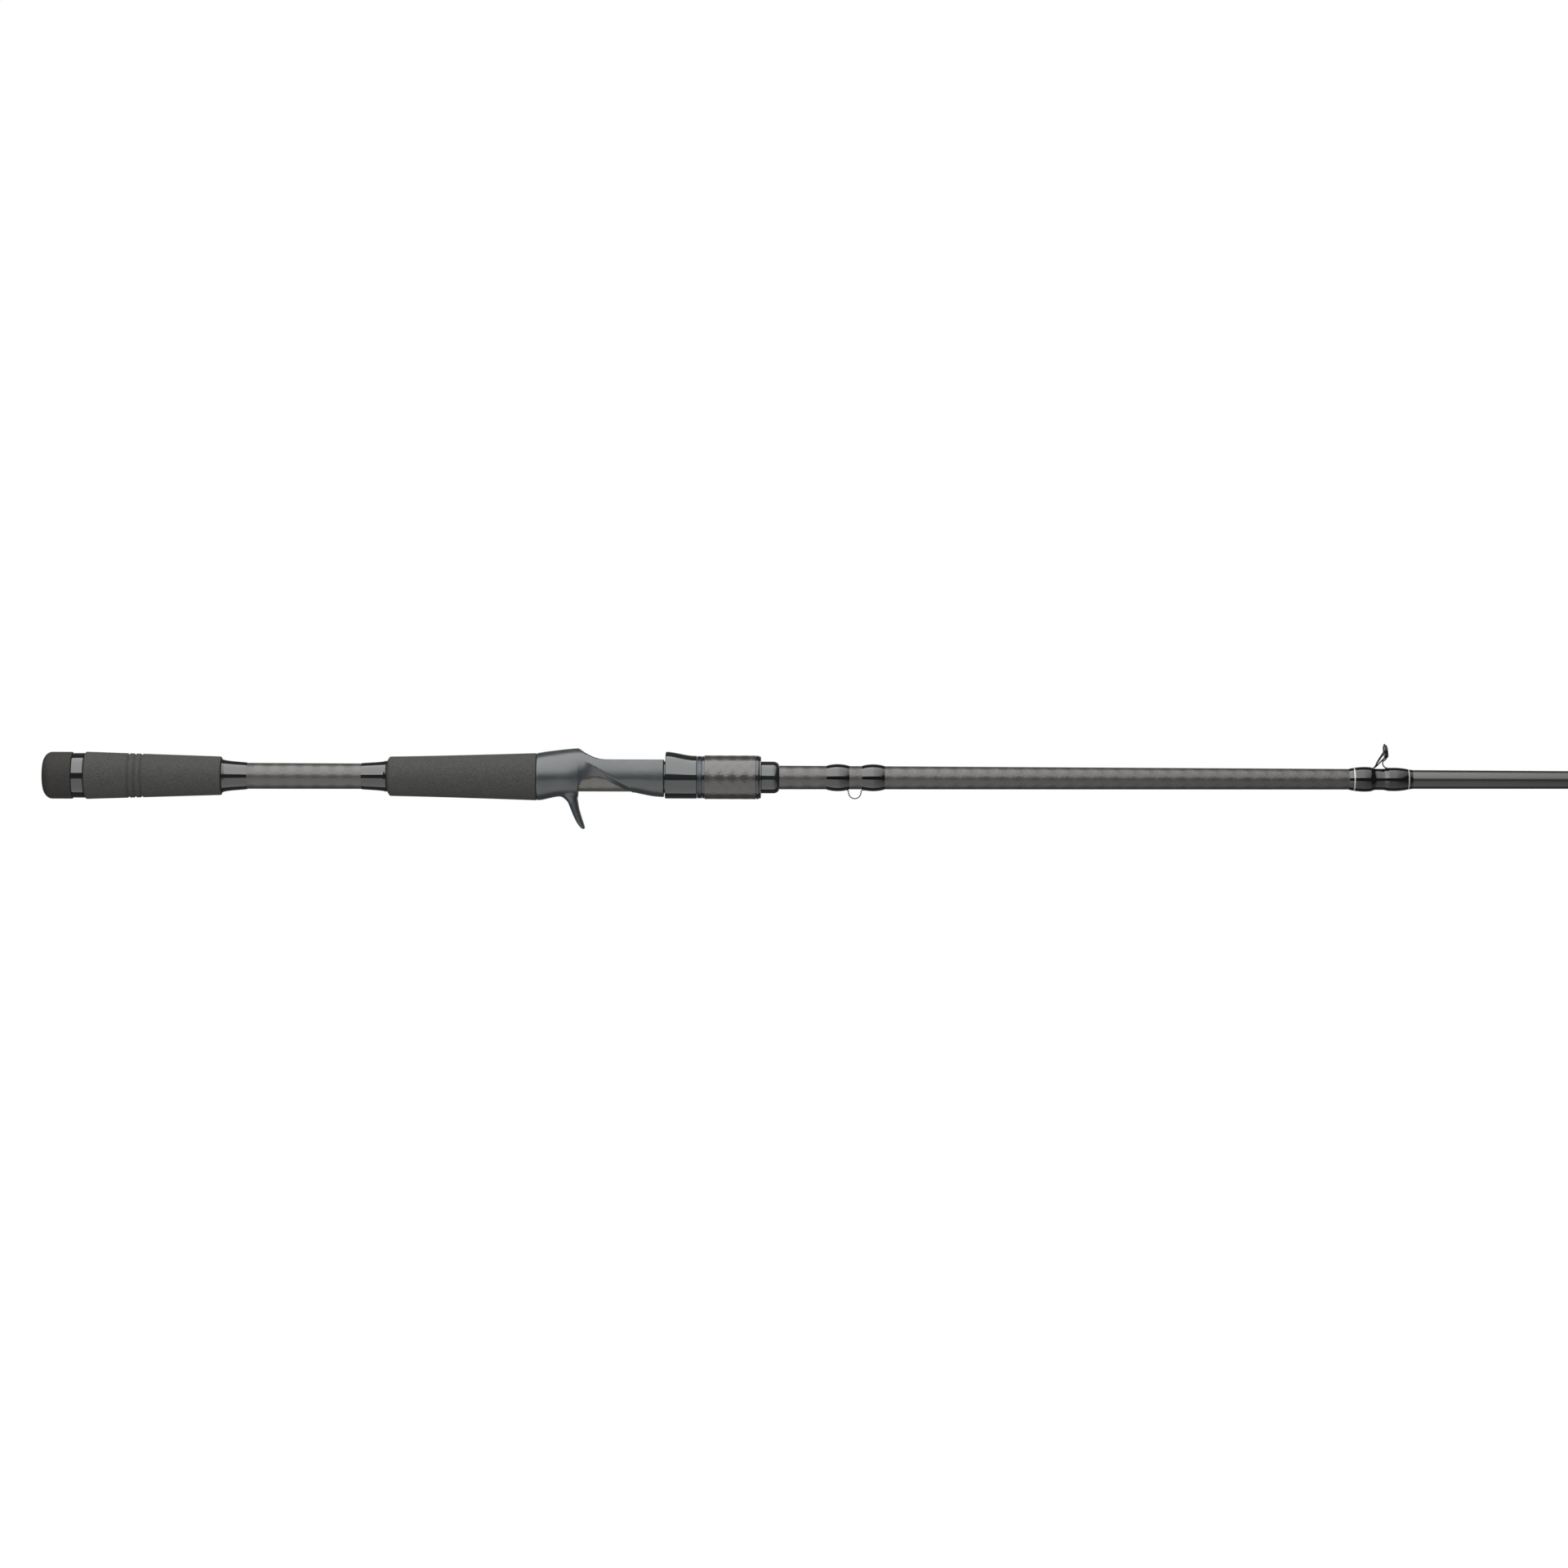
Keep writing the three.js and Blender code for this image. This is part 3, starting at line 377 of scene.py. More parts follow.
# Turned metal: faint tool lines round the axis, which stretch the highlight along the piece. They are drawn
# coarser than real ones, so that they show.
def turnedMetal(name, colour, roughness, lineSize):
    material, shader = newMaterial(name, Metallic=1)
    place = addNode(material, "TexCoord", {}).outputs["Object"]
    stretched = addNode(material, "Mapping", {"Vector": place, "Scale": (1 / (lineSize * mm), 25, 25)})
    lines = addNode(material, "TexNoise", {"Vector": stretched, "Scale": 1, "Detail": 3})
    shade = addNode(
        material, "MapRange",
        {"Value": lines, "From Min": 0.3, "From Max": 0.7, "To Min": 0.82, "To Max": 1.12},
    )
    tint = addNode(
        material, "Mix", {0: 1.0, colourA: linear(colour), colourB: shade}, data_type="RGBA",
        blend_type="MULTIPLY",
    )
    rough = addNode(
        material, "MapRange",
        {"Value": lines, "From Min": 0.3, "From Max": 0.7,
         "To Min": roughness * 0.8, "To Max": roughness * 1.25},
    )
    bump = addNode(material, "Bump", {"Height": lines, "Strength": 0.25, "Distance": 0.03 * mm})
    connect(
        material, shader, Base_Color=tint.outputs[colourOut], Roughness=rough,
        Normal=bump,
    )
    return material


# Thread wound side by side and flooded with epoxy: a glassy coat over fine rings of thread. The thread is
# drawn at 0.5 mm, coarser than the real 0.2 mm, so that it shows.
def floodedThread(name, dark, light, metallic=0.0, roughness=0.09):
    material, shader = newMaterial(
        name, IOR=1.5, Metallic=metallic, Roughness=0.35, Specular_IOR_Level=0,
        Coat_Weight=1.0, Coat_Roughness=roughness,
    )
    place = addNode(material, "TexCoord", {}).outputs["Object"]
    parts = addNode(material, "SeparateXYZ", {"Vector": place})
    phase = addNode(
        material, "Math", {0: parts.outputs["X"], 1: 2 * math.pi / (0.5 * mm)}, operation="MULTIPLY"
    )
    rings = addNode(material, "Math", {0: phase}, operation="SINE")
    # The colour is painted shade: dark in the grooves between turns of thread and light on their crowns,
    # following the bump.
    colour = colourBetween(material, rings, -1, 1, dark, light)
    bump = addNode(material, "Bump", {"Height": rings, "Strength": 0.4, "Distance": 0.03 * mm})
    flow = addNode(material, "TexNoise", {"Vector": place, "Scale": 1 / (5 * mm), "Detail": 1})
    skin = addNode(material, "Bump", {"Height": flow, "Strength": 0.25, "Distance": 0.08 * mm})
    connect(material, shader, Base_Color=colour, Normal=bump, Coat_Normal=skin)
    return material


# Foam for the grips shows its grain; the moulded cap is closer and darker.
foamGrip = groundFoam("groundEvaFoam", "#222221", "#343432", grainSize=0.7, depth=0.5)
foamCap = groundFoam("mouldedEvaFoam", "#191817", "#23221f", grainSize=0.9, depth=0.22)
glossTrim = polishedPlastic("polishedAbs", "#0e0e0f", roughness=0.07)
glossHood = polishedPlastic("polishedNylon", "#101314", roughness=0.09)
nutBlack = polishedPlastic("mouldedAcetal", "#111314", roughness=0.16)
ringCeramic = polishedPlastic("polishedCeramic", "#1a1416", roughness=0.05)
# The tows are about 5 mm wide, and the crown is how far a tow stands up where it crosses another.
carbonBlank = wovenCarbon("wovenCarbonBlank", "#252220", "#2f2c29", 8, tow=5.4, roughness=0.38, crown=0.15)
carbonNut = wovenCarbon("wovenCarbonNut", "#232120", "#2b2928", 14.5, tow=4.2, roughness=0.27, crown=0.13)
carbonTube = wovenCarbon("wovenCarbonTube", "#33312e", "#45433e", 9.7, tow=4.6, roughness=0.32, crown=0.16)
seatPaint = satinPaint("satinMetallicPaint", "#1a1e20", "#24292b", roughness=0.33, flakes=1)
blankPaint = satinPaint("satinBlankPaint", "#1a1916", "#211f1c", roughness=0.24, flakes=0.1, gloss=1.65)
anodised = turnedMetal("anodisedAluminium", "#3e4246", roughness=0.34, lineSize=0.25)
darkSteel = turnedMetal("blackenedSteel", "#2b2725", roughness=0.2, lineSize=0.5)
blackThread = floodedThread("epoxyOverBlackThread", "#020202", "#060606")
silverThread = floodedThread("epoxyOverSilverThread", "#6f6f6d", "#a0a09e", metallic=0.1)
print("materials made")

blank = {
    "length": 2210, "buttRadius": 8.43, "tipRadius": 1.2, "straightTaper": 0.55,
    "buttWall": 1.5, "tipWall": 0.6, "tipEdge": 0.3,
    "sleeveWall": 0.45, "sleeveEdge": 0.2, "glue": 0.15,
}
sleeveStart, sleeveEnd = reach("butt_sleeve")


def blankRadius(x):
    share = x / blank["length"]
    taper = blank["straightTaper"] * share + (1 - blank["straightTaper"]) * share * share
    return blank["buttRadius"] - (blank["buttRadius"] - blank["tipRadius"]) * taper


def sleeveRadius(x):
    return blankRadius(x) + blank["sleeveWall"]


def rodSurface(x):
    return sleeveRadius(x) if x < sleeveEnd else blankRadius(x)


# The bore of everything that is glued round the rod.
def bore(x):
    return sleeveRadius(x) + blank["glue"]


# An outer profile closed by a bore round the rod. A sunk one reaches a little into the glue.
def onRod(outer, start, end, sunk=0):
    return outer + [(end, bore(end) - sunk), (start, bore(start) - sunk)]


def makeBlank():
    start, end = reach("blank")
    edge = blank["tipEdge"]
    outer = [(x, blankRadius(x)) for x in evenly(start, end - edge, 90)] + [(end, blank["tipRadius"] - edge)]
    thinning = (blank["buttWall"] - blank["tipWall"]) / blank["length"]
    inner = [(x, blankRadius(x) - blank["buttWall"] + thinning * x) for x in (end, end / 2, start)]
    turnedPiece("taperedBlank", outer + inner, "rod", blankPaint, "blank", 64)
    outer = [(x, sleeveRadius(x)) for x in evenly(sleeveStart, sleeveEnd - edge, 60)]
    outer.append((sleeveEnd, sleeveRadius(sleeveEnd) - blank["sleeveEdge"]))
    inner = [(x, blankRadius(x) + 0.1) for x in evenly(sleeveEnd, sleeveStart, 12)]  # clear of the blank
    turnedPiece("wovenButtLayer", outer + inner, "rod", carbonBlank, "butt_sleeve")


makeBlank()
print("blank made")

capShape = {"radius": 15.5, "faceRadius": 7.6, "cornerLength": 6.2, "floor": 4, "edge": 0.6}
ringShape = {"radius": 14.9, "edge": 0.45}
rearShape = {
    "buttRadius": 15.68, "endRadius": 12.75, "corner": 1.3, "firstGroove": 29, "pitch": 4.3, "grooves": 3,
    "width": 1.8, "depth": 0.75, "frontEdge": 0.8,
}
mainShape = {
    "rearRadius": 13.05, "frontRadius": 15.65, "swell": 1.25, "frontEdge": 0.3,
    "chamferLength": 1.9, "chamferDrop": 2.7,
    "chamfer": [[0, 1], [0.35, 0.58], [0.7, 0.2]],  # along it, and how much of the drop is left
}
coneShape = {
    "rearRim": 2.3, "frontRim": 1.85, "lip": 0.35, "sunk": 0.1,
    "flare": [[0, 1], [0.05, 0.93], [0.13, 0.74], [0.32, 0.52], [0.6, 0.33], [0.93, 0.14], [1, 0.06]],
}


def makeButtCap():
    start, end = reach("butt_cap")
    radius, face, edge = capShape["radius"], capShape["faceRadius"], capShape["edge"]
    outer = [(start, 0), (start, face * 0.5)]
    outer += quarter((start, face), (start, radius), (start + capShape["cornerLength"], radius), 18)
    outer += frontEdge(end, radius, edge)
    floor = start + capShape["floor"]
    turnedPiece(
        "foamButtCap", onRod(outer, floor, end) + [(floor, 0)],
        "rod", foamCap, "butt_cap", 128, closed=False,
    )


def makeButtRing():
    start, end = reach("butt_ring")
    radius, edge = ringShape["radius"], ringShape["edge"]
    outer = rearEdge(start, radius, edge, 5) + frontEdge(end, radius, edge, 5)
    turnedPiece("glossButtRing", onRod(outer, start, end), "rod", glossTrim, "butt_ring", 128)


def makeRearGrip():
    start, end = reach("rear_grip")
    shape = rearShape
    slope = (shape["endRadius"] - shape["buttRadius"]) / (end - start)
    corner, edge = shape["corner"], shape["frontEdge"]

    def level(x):
        return shape["buttRadius"] + slope * (x - start)

    cornerEnd = (start + corner, level(start + corner))
    outer = quarter((start, level(start) - corner), (start, level(start)), cornerEnd, 6)
    for i in range(shape["grooves"]):
        middle = start + shape["firstGroove"] + i * shape["pitch"]
        for share in evenly(-1, 1, 9):
            x = middle + share * shape["width"] / 2
            hollow = (0.5 + 0.5 * math.cos(math.pi * share)) ** 0.7
            outer.append((x, level(x) - shape["depth"] * hollow))
    outer += quarter((end - edge, level(end - edge)), (end, level(end)), (end, level(end) - edge), 5)
    turnedPiece("foamRearGrip", onRod(outer, start, end), "rod", foamGrip, "rear_grip", 128)


# A cone's wide rim faces its grip, so it comes first on one of them and last on the other.
def makeTrimCone(node, name, rim, rimFirst):
    start, end = reach(node)
    lip = coneShape["lip"]
    outer = []
    for share in [0] + evenly(0.03, 1, 40):
        x = start + (end - start) * (share if rimFirst else 1 - share)
        outer.append((x, bore(x) + rim * follow(coneShape["flare"], share) - (lip if share == 0 else 0)))
    if not rimFirst:
        outer.reverse()
    turnedPiece(name, onRod(outer, start, end, coneShape["sunk"]), "rod", glossTrim, node, 112)


def makeMainGrip():
    start, end = reach("main_grip")
    shape = mainShape
    rise = shape["frontRadius"] - shape["rearRadius"]

    def level(share):
        return shape["rearRadius"] + rise * share ** shape["swell"]

    length, drop = shape["chamferLength"], shape["chamferDrop"]
    outer = [(start + length * share, level(0) - drop * left) for share, left in shape["chamfer"]]
    outer += [(start + length, level(0) - 0.04)]
    outer += [(start + share * (end - start), level(share)) for share in evenly(0.04, 0.996, 40)]
    outer += [(end, level(1) - shape["frontEdge"])]
    turnedPiece("foamMainGrip", onRod(outer, start, end), "rod", foamGrip, "main_grip", 128)


makeButtCap()
makeButtRing()
makeRearGrip()
makeTrimCone("rear_grip_trim", "rearTrimCone", coneShape["rearRim"], True)
makeTrimCone("main_grip_trim", "mainTrimCone", coneShape["frontRim"], False)
makeMainGrip()
print("grips made")

barrelRadius = 10.58
arborRadius = 9.72
boreOverlap = 0.35  # the seat is bonded into the tube, so that the window's thin edge stays whole
# Rows are [from the seat's rear face, reach over the barrel's surface].
seatShape = {
    "top": [[0, 5.05], [7, 6.2], [13.4, 7], [18.1, 7.6], [27.9, 8.4], [36, 8.2], [84.2, 8.2]],
    "bottom": [[0, 5.05], [4, 4.7], [7, 4], [13.4, 2.7], [18.1, 2.4], [27.9, 2.3], [45.5, 1.6], [63, -0.3],
               [70, 0.85], [76.6, 2.1], [84.2, 2.75]],
    "side": [[0, 5.05], [7, 4.6], [13.4, 4.3], [18.1, 4.1], [27.9, 3.8], [45.5, 3], [63, 2.6], [76.6, 2.75],
             [84.2, 2.75]],
    # The crest falls to the deck from here on. Its height is from the axis.
    "crest": 27.9,
    "roof": [[27.4, 18.9], [28.4, 18.75], [31.2, 16.6], [36, 13.9], [39.3, 12.7], [42.5, 12], [47, 11.65],
             [84.2, 11.6]],
    "deckRound": 0.6,
    # The window's edge and the crease over it, as height from the axis.
    "window": [[27.6, -9.6], [28, -6.5], [29.2, -3.6], [31.2, -1.6], [34, -0.3], [38, 0.3], [42, 0.1],
               [46, -1.4], [50, -3.9], [55, -6.6], [59, -8.4], [63, -9.9]],
    "crease": [[20, 14.6], [27, 12.9], [32, 10.8], [36.5, 8.2], [40.2, 5.7], [44, 3.1], [50, -0.6],
               [55.4, -3.8], [60.6, -6.9], [65, -9], [70, -11]],
    "scoop": 3.1,
    "skinCell": 0.41,
}
pocketShape = {
    "halfWidth": 7.3, "depth": 11, "floorDrop": 0.35, "side": 1.1, "roof": 17.05, "innerRoof": 16.5,
    "runOut": [33, 45],
}
triggerShape = {
    "root": 13, "drop": 21.5,
    # Share of the drop, rear edge and front edge from the seat's rear face, half width.
    "rows": [
        [-0.4, 8.5, 27.8, 13], [-0.25, 11.2, 27.7, 10.4], [-0.12, 13.8, 27.6, 8.2], [0, 16.2, 27.4, 6.6],
        [0.08, 18.5, 27.3, 5.7], [0.16, 20.3, 27.6, 5.1], [0.36, 22.2, 28.3, 4.6], [0.62, 24.5, 29.9, 4.3],
        [0.83, 26.9, 31.4, 4], [0.955, 29, 32.1, 3.2], [0.99, 29.9, 31.9, 2.2], [1, 30.4, 31.5, 1.4],
    ],
}
seatStart, seatEnd = reach("reel_seat")


def seatPoint(station, turn):
    shape = seatShape
    upper = barrelRadius + follow(shape["top"], station)
    lower = barrelRadius + follow(shape["bottom"], station)
    side = barrelRadius + follow(shape["side"], station)
    z = math.cos(turn) * (upper if math.cos(turn) > 0 else lower)
    y = side * math.sin(turn)
    if station > shape["crest"]:
        roof, small = follow(shape["roof"], station), shape["deckRound"]
        if z > roof - small:  # the deck's edge is a small round
            z = roof - small * math.exp((roof - small - z) / small)
    crease, edge = follow(shape["crease"], station), follow(shape["window"], station)
    if 19 < station < 67 and z < crease:  # scooped in below the crease, but never through the middle
        slant = min(1, (crease - z) / max(2, crease - edge))
        inset = shape["scoop"] * slant**0.75 * ease(19, 37, station) * (1 - ease(54, 67, station))
        y = math.copysign(max(abs(y) - inset, abs(y) * 0.4), y)
    return seatStart + station, y, z


# A block with the given outline of (x, z) points, as wide on each side of the rod's middle plane.
def sideCutter(outline, halfWidth, name):
    bm = bmesh.new()
    corners = [bm.verts.new((x * mm, -halfWidth * mm, z * mm)) for x, z in outline]
    face = bm.faces.new(corners)
    made = bmesh.ops.extrude_face_region(bm, geom=[face])["geom"]
    moved = [part for part in made if isinstance(part, bmesh.types.BMVert)]
    bmesh.ops.translate(bm, verts=moved, vec=(0, 2 * halfWidth * mm, 0))
    bmesh.ops.recalc_face_normals(bm, faces=bm.faces)
    return objectOf(bm, name)


def makeReelSeat():
    length = seatEnd - seatStart
    stations = evenly(0, 26, 40) + evenly(26.4, 64, 120) + evenly(64.6, length, 40)
    seat = objectOf(lofted(stations, seatPoint, 144), "triggerReelSeat")
    first, last = seatShape["window"][0][0], seatShape["window"][-1][0]
    edge = [(seatStart + x, follow(seatShape["window"], x)) for x in evenly(first, last, 60)]
    low = [(seatStart + last, -30), (seatStart + first, -30)]
    combine(seat, sideCutter(edge + low, 30, "windowCutter"), "DIFFERENCE")
    rows = triggerShape["rows"]
    tables = [[[row[0], row[k]] for row in rows] for k in (1, 2, 3)]

    def triggerPoint(share, turn):
        rear, front, half = [follow(table, share) for table in tables]
        x = seatStart + (rear + front) / 2 + (front - rear) / 2 * math.cos(turn)
        return x, half * math.sin(turn), -triggerShape["root"] - share * triggerShape["drop"]

    shares = evenly(-0.4, 0.9, 36) + [0.93, 0.955, 0.975, 0.99, 1]
    combine(seat, objectOf(lofted(shares, triggerPoint, 48), "trigger"), "UNION")
    boreSize = arborRadius - boreOverlap
    inside = [(seatStart - 2, 0), (seatStart - 2, boreSize), (seatEnd + 2, boreSize), (seatEnd + 2, 0)]
    combine(seat, objectOf(turned(inside, 128, closed=False), "boreCutter"), "DIFFERENCE")
    shape = pocketShape
    floor = seatShape["roof"][-1][1] - shape["floorDrop"]
    runStart, runEnd = shape["runOut"]

    def pocketPoint(station, turn):
        at, roof = station
        up = math.sin(turn)
        base = floor + (shape["floorDrop"] + 0.1) * ease(runStart, runEnd, at)  # runs out into the deck
        z = base + shape["side"] + (roof - base - shape["side"]) * up if up > 0 else base
        return seatStart + at, shape["halfWidth"] * math.cos(turn), z

    mouth = [(seatShape["crest"] - shape["depth"], shape["innerRoof"]), (27.5, shape["roof"])]
    mouth += [(at, shape["roof"]) for at in evenly(runStart, runEnd + 1, 8)]
    combine(seat, objectOf(lofted(mouth, pocketPoint, 48), "pocketCutter"), "DIFFERENCE")
    remesh = seat.modifiers.new("skin", "REMESH")
    remesh.mode = "VOXEL"
    remesh.voxel_size = seatShape["skinCell"] * mm
    soften = seat.modifiers.new("soften", "SMOOTH")
    soften.factor = 0.5
    soften.iterations = 6
    settle(seat)
    # The trigger's root runs into the body in a wide fillet, which stops short of the window.
    blend = seat.vertex_groups.new(name="triggerRoot")
    for vert in seat.data.vertices:
        x, z = vert.co.x / mm - seatStart, vert.co.z / mm
        weight = ease(2, 9, x) * (1 - ease(24.5, 27.2, x)) * ease(-19.5, -15, z) * (1 - ease(-10, -6.5, z))
        if weight > 0.01:
            blend.add([vert.index], weight, "REPLACE")
    fillet = seat.modifiers.new("fillet", "SMOOTH")
    fillet.vertex_group = blend.name
    fillet.factor = 0.6
    fillet.iterations = 60
    settle(seat)
    finishPiece(seat, "rod", [seatPaint], "reel_seat", crisp=70)
    start, end = reach("seat_arbor")
    tube = onRod([(start, arborRadius), (end, arborRadius)], start, end)
    turnedPiece("wovenSeatTube", tube, "rod", carbonTube, "seat_arbor")


makeReelSeat()
print("reel seat made")

threadShape = {
    "pitch": 2.5, "depth": 0.9, "base": 1.4, "crest": 0.6, "behindNut": 3.2,
    "turns": 9, "nutTurns": 2, "steps": 48,
}
barrelShape = {"relief": 2.5, "chamfer": 0.8, "keyHalfWidth": 1.5, "keyEdge": 0.2}


# A helical ridge, as a trapezoid carried round the axis and along it.
def threadRidge(start, turns, root, crest, name):
    bm = bmesh.new()
    shape = threadShape
    half, top = shape["base"] / 2, shape["crest"] / 2
    corners = [(start - half, root), (start - top, crest), (start + top, crest), (start + half, root)]
    points = [bm.verts.new((x * mm, 0, r * mm)) for x, r in corners]
    face = bm.faces.new(points)
    bmesh.ops.spin(
        bm, geom=[face], cent=(0, 0, 0), axis=(1, 0, 0), angle=2 * math.pi * turns,
        dvec=(shape["pitch"] / shape["steps"] * mm, 0, 0), steps=int(turns * shape["steps"]),
    )
    bmesh.ops.remove_doubles(bm, verts=bm.verts, dist=1e-7)
    bmesh.ops.recalc_face_normals(bm, faces=bm.faces)
    return objectOf(bm, name)


def makeBarrel():
    start, end = reach("threaded_barrel")
    core = barrelRadius - threadShape["depth"]
    first = reach("nut_core")[0] - threadShape["behindNut"]
    last = first + threadShape["pitch"] * threadShape["turns"]
    relief, chamfer, edge = barrelShape["relief"], barrelShape["chamfer"], barrelShape["keyEdge"]
    profile = [
        (start, barrelRadius), (first - relief, barrelRadius), (first - relief, core),
        (last + relief, core), (last + relief, barrelRadius), (end - chamfer, barrelRadius),
        (end, barrelRadius - chamfer), (end, bore(start)), (start, bore(start)),
    ]
    barrel = objectOf(turned(profile), "threadedSeatBarrel")
    combine(barrel, threadRidge(first, threadShape["turns"], core - 0.3, barrelRadius, "ridge"), "UNION")
    slot = [(start + edge, -20), (last + relief, -20), (last + relief, -core), (start + edge, -core)]
    combine(barrel, sideCutter(slot, barrelShape["keyHalfWidth"], "slotCutter"), "DIFFERENCE")
    finishPiece(barrel, "rod", [nutBlack], "threaded_barrel", crisp=40)


hoodShape = {
    "radius": 14.26, "mouthRise": 2.6, "wall": 1.2, "frontWall": 1.6, "lip": 0.55, "frontRound": 0.35,
    "bore": 10.83, "overhang": 0.5,
}
hoodStart, hoodEnd = reach("moving_hood")


def hoodRise(at):
    return hoodShape["mouthRise"] * (1 - ease(0.03, 0.95, at / (hoodEnd - hoodStart)))


def makeHood():
    length = hoodEnd - hoodStart
    shape = hoodShape
    lip, small = shape["lip"], shape["frontRound"]
    # Rows are (along, inset) round the shell: mouth, outside, front face, bore and inside.
    rows = quarter((0, lip), (0, 0), (lip * 1.4, 0), 6)
    rows += [(x, 0) for x in evenly(1.2, length - 0.5, 30)]
    rows += quarter((length - small, 0), (length, 0), (length, small), 4)
    rows += [(length, "bore"), (length - shape["frontWall"], "bore")]
    rows += [(x, shape["wall"]) for x in evenly(length - shape["frontWall"], 0.4, 20)]
    rows += [(0, shape["wall"] - 0.25)]

    def point(station, turn):
        at, inset = station
        if inset == "bore":
            return hoodStart + at, shape["bore"] * math.sin(turn), shape["bore"] * math.cos(turn)
        rise = hoodRise(at) if math.cos(turn) > 0 else 0
        # The mouth leans: its top stands nearer to the front than its lower edge does.
        lean = shape["overhang"] * max(0, math.cos(turn)) * (1 - ease(0, 6, at))
        side = shape["radius"] - inset
        return hoodStart + at + lean, side * math.sin(turn), (side + rise) * math.cos(turn)

    piece = objectOf(lofted(rows, point, 128, loop=True), "glossReelHood")
    finishPiece(piece, "hood", [glossHood], "moving_hood")
    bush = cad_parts["hood_bush"]  # hidden in the hood, so its CAD shape stays
    bush.data.materials.clear()
    bush.data.materials.append(nutBlack)


nutShape = {
    "radius": 14.5, "neckDrop": 0.45, "bore": 10.88, "coreRadius": 13.8, "edge": 0.22, "groove": 0.2,
    "noseDrop": 2.2, "noseRound": 2.6,
}


def makeNut():
    shape = nutShape
    radius, edge, hole = shape["radius"], shape["edge"], shape["bore"]
    start, end = reach("nut_ring")
    neck = radius - shape["neckDrop"]
    outer = rearEdge(start, neck, edge)
    for share in (0.33, 0.67):
        middle = start + share * (end - start)
        floor = neck - shape["groove"]
        outer += [(middle - 0.22, neck), (middle - 0.1, floor), (middle + 0.1, floor), (middle + 0.22, neck)]
    outer += frontEdge(end, neck, edge)
    turnedPiece(
        "anodisedNutRing", outer + [(end, hole), (start, hole)],
        "nut", anodised, "nut_ring", 128,
    )

    start, end = reach("nut_core")
    sleeveFrom = reach("nut_sleeve")[0]
    outer = rearEdge(start, neck, edge)
    coreRadius, shoulder = shape["coreRadius"], sleeveFrom - 0.2
    outer += [(sleeveFrom - 0.3, neck), (shoulder, neck - 0.1), (shoulder, coreRadius), (end, coreRadius)]
    core = objectOf(turned(outer + [(end, hole), (start, hole)], 128), "threadedNutCore")
    # The nut's ridge lies midway between the barrel's.
    ridgeRoot, ridgeCrest = hole + 0.4, barrelRadius - threadShape["depth"] + 0.3
    pitches = math.ceil((threadShape["behindNut"] + threadShape["base"] / 2) / threadShape["pitch"] - 0.5)
    ridgeStart = start - threadShape["behindNut"] + threadShape["pitch"] * (pitches + 0.5)
    ridge = threadRidge(ridgeStart, threadShape["nutTurns"], ridgeRoot, ridgeCrest, "insideRidge")
    combine(core, ridge, "UNION")
    finishPiece(core, "nut", [nutBlack], "nut_core", crisp=40)

    start, end = reach("nut_sleeve")
    inner = coreRadius + 0.15
    outer = rearEdge(start, radius, edge, 5)
    outer += [(x, radius) for x in evenly(start + 1, end - 1, 12)]
    outer += frontEdge(end, radius, edge, 5)
    turnedPiece(
        "wovenNutSleeve", outer + [(end, inner), (start, inner)],
        "nut", carbonNut, "nut_sleeve", 128,
    )

    start, end = reach("nut_nose")
    outer = rearEdge(start, radius, edge)
    lowest = (end, radius - shape["noseDrop"])
    outer += quarter((end - shape["noseRound"], radius - 0.05), (end, radius), lowest, 10)
    turnedPiece(
        "roundedNutRing", outer + [(end, hole), (end - 0.2, inner), (start, inner)],
        "nut", nutBlack, "nut_nose", 128,
    )


collarShape = {"radius": 10.6, "edge": 0.25, "cornerLength": 4.2, "cornerDrop": 2.9}


def makeCollar():
    start, end = reach("front_collar")
    radius, edge = collarShape["radius"], collarShape["edge"]
    along, drop = collarShape["cornerLength"], collarShape["cornerDrop"]
    outer = rearEdge(start, radius, edge)
    outer += quarter((end - along, radius), (end, radius), (end, radius - drop), 14)
    turnedPiece(
        "steppedFrontCollar", onRod(outer, start, end),
        "rod", glossHood, "front_collar", 112,
    )


makeBarrel()
makeHood()
makeNut()
makeCollar()
print("hood and nut made")

keeperShape = {
    "wire": 0.35, "loop": 4.1, "loopTurns": [165, 135, 110, 90, 70, 45, 15],  # degrees
    "wrapAhead": 0.5, "sunk": 0.1,
    "rise": [[0, 0.03], [0.04, 0.2], [0.12, 0.52], [0.28, 0.94], [0.5, 1.14], [0.72, 0.94], [0.88, 0.52],
             [0.96, 0.2], [1, 0.03]],
}


def makeKeeper():
    low, high = (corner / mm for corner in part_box("hook_keeper"))
    middle, loop, thick = (low.x + high.x) / 2, keeperShape["loop"], keeperShape["wire"]
    lowest = low.z + thick
    foot = -(bore(low.x) + thick)
    points = [(low.x + 0.05, 0, foot), (middle - loop - 3, 0, foot), (middle - loop - 0.5, 0, foot - 0.15)]
    for degrees in keeperShape["loopTurns"]:
        turn = math.radians(degrees)
        drop = max(0, math.sin(turn))
        points.append((middle + loop * math.cos(turn), 0, lowest + loop * (1 - drop)))
    points += [(2 * middle - x, y, z) for x, y, z in reversed(points[:3])]
    piece = wire(points, thick, "hookKeeperWire", 4, 8)
    finishPiece(piece, "rod", [darkSteel], "hook_keeper")
    for node, name in (("keeper_wrap_rear", "keeperRearWrap"), ("keeper_wrap_front", "keeperFrontWrap")):
        start, end = [x + keeperShape["wrapAhead"] for x in reach(node)]
        outer = []
        for share in evenly(0, 1, 44):
            x = start + share * (end - start)
            outer.append((x, bore(x) + follow(keeperShape["rise"], share)))
        profile = onRod(outer, start, end, keeperShape["sunk"])
        turnedPiece(name, profile, "rod", blackThread, node)


makeKeeper()
print("hook keeper made")

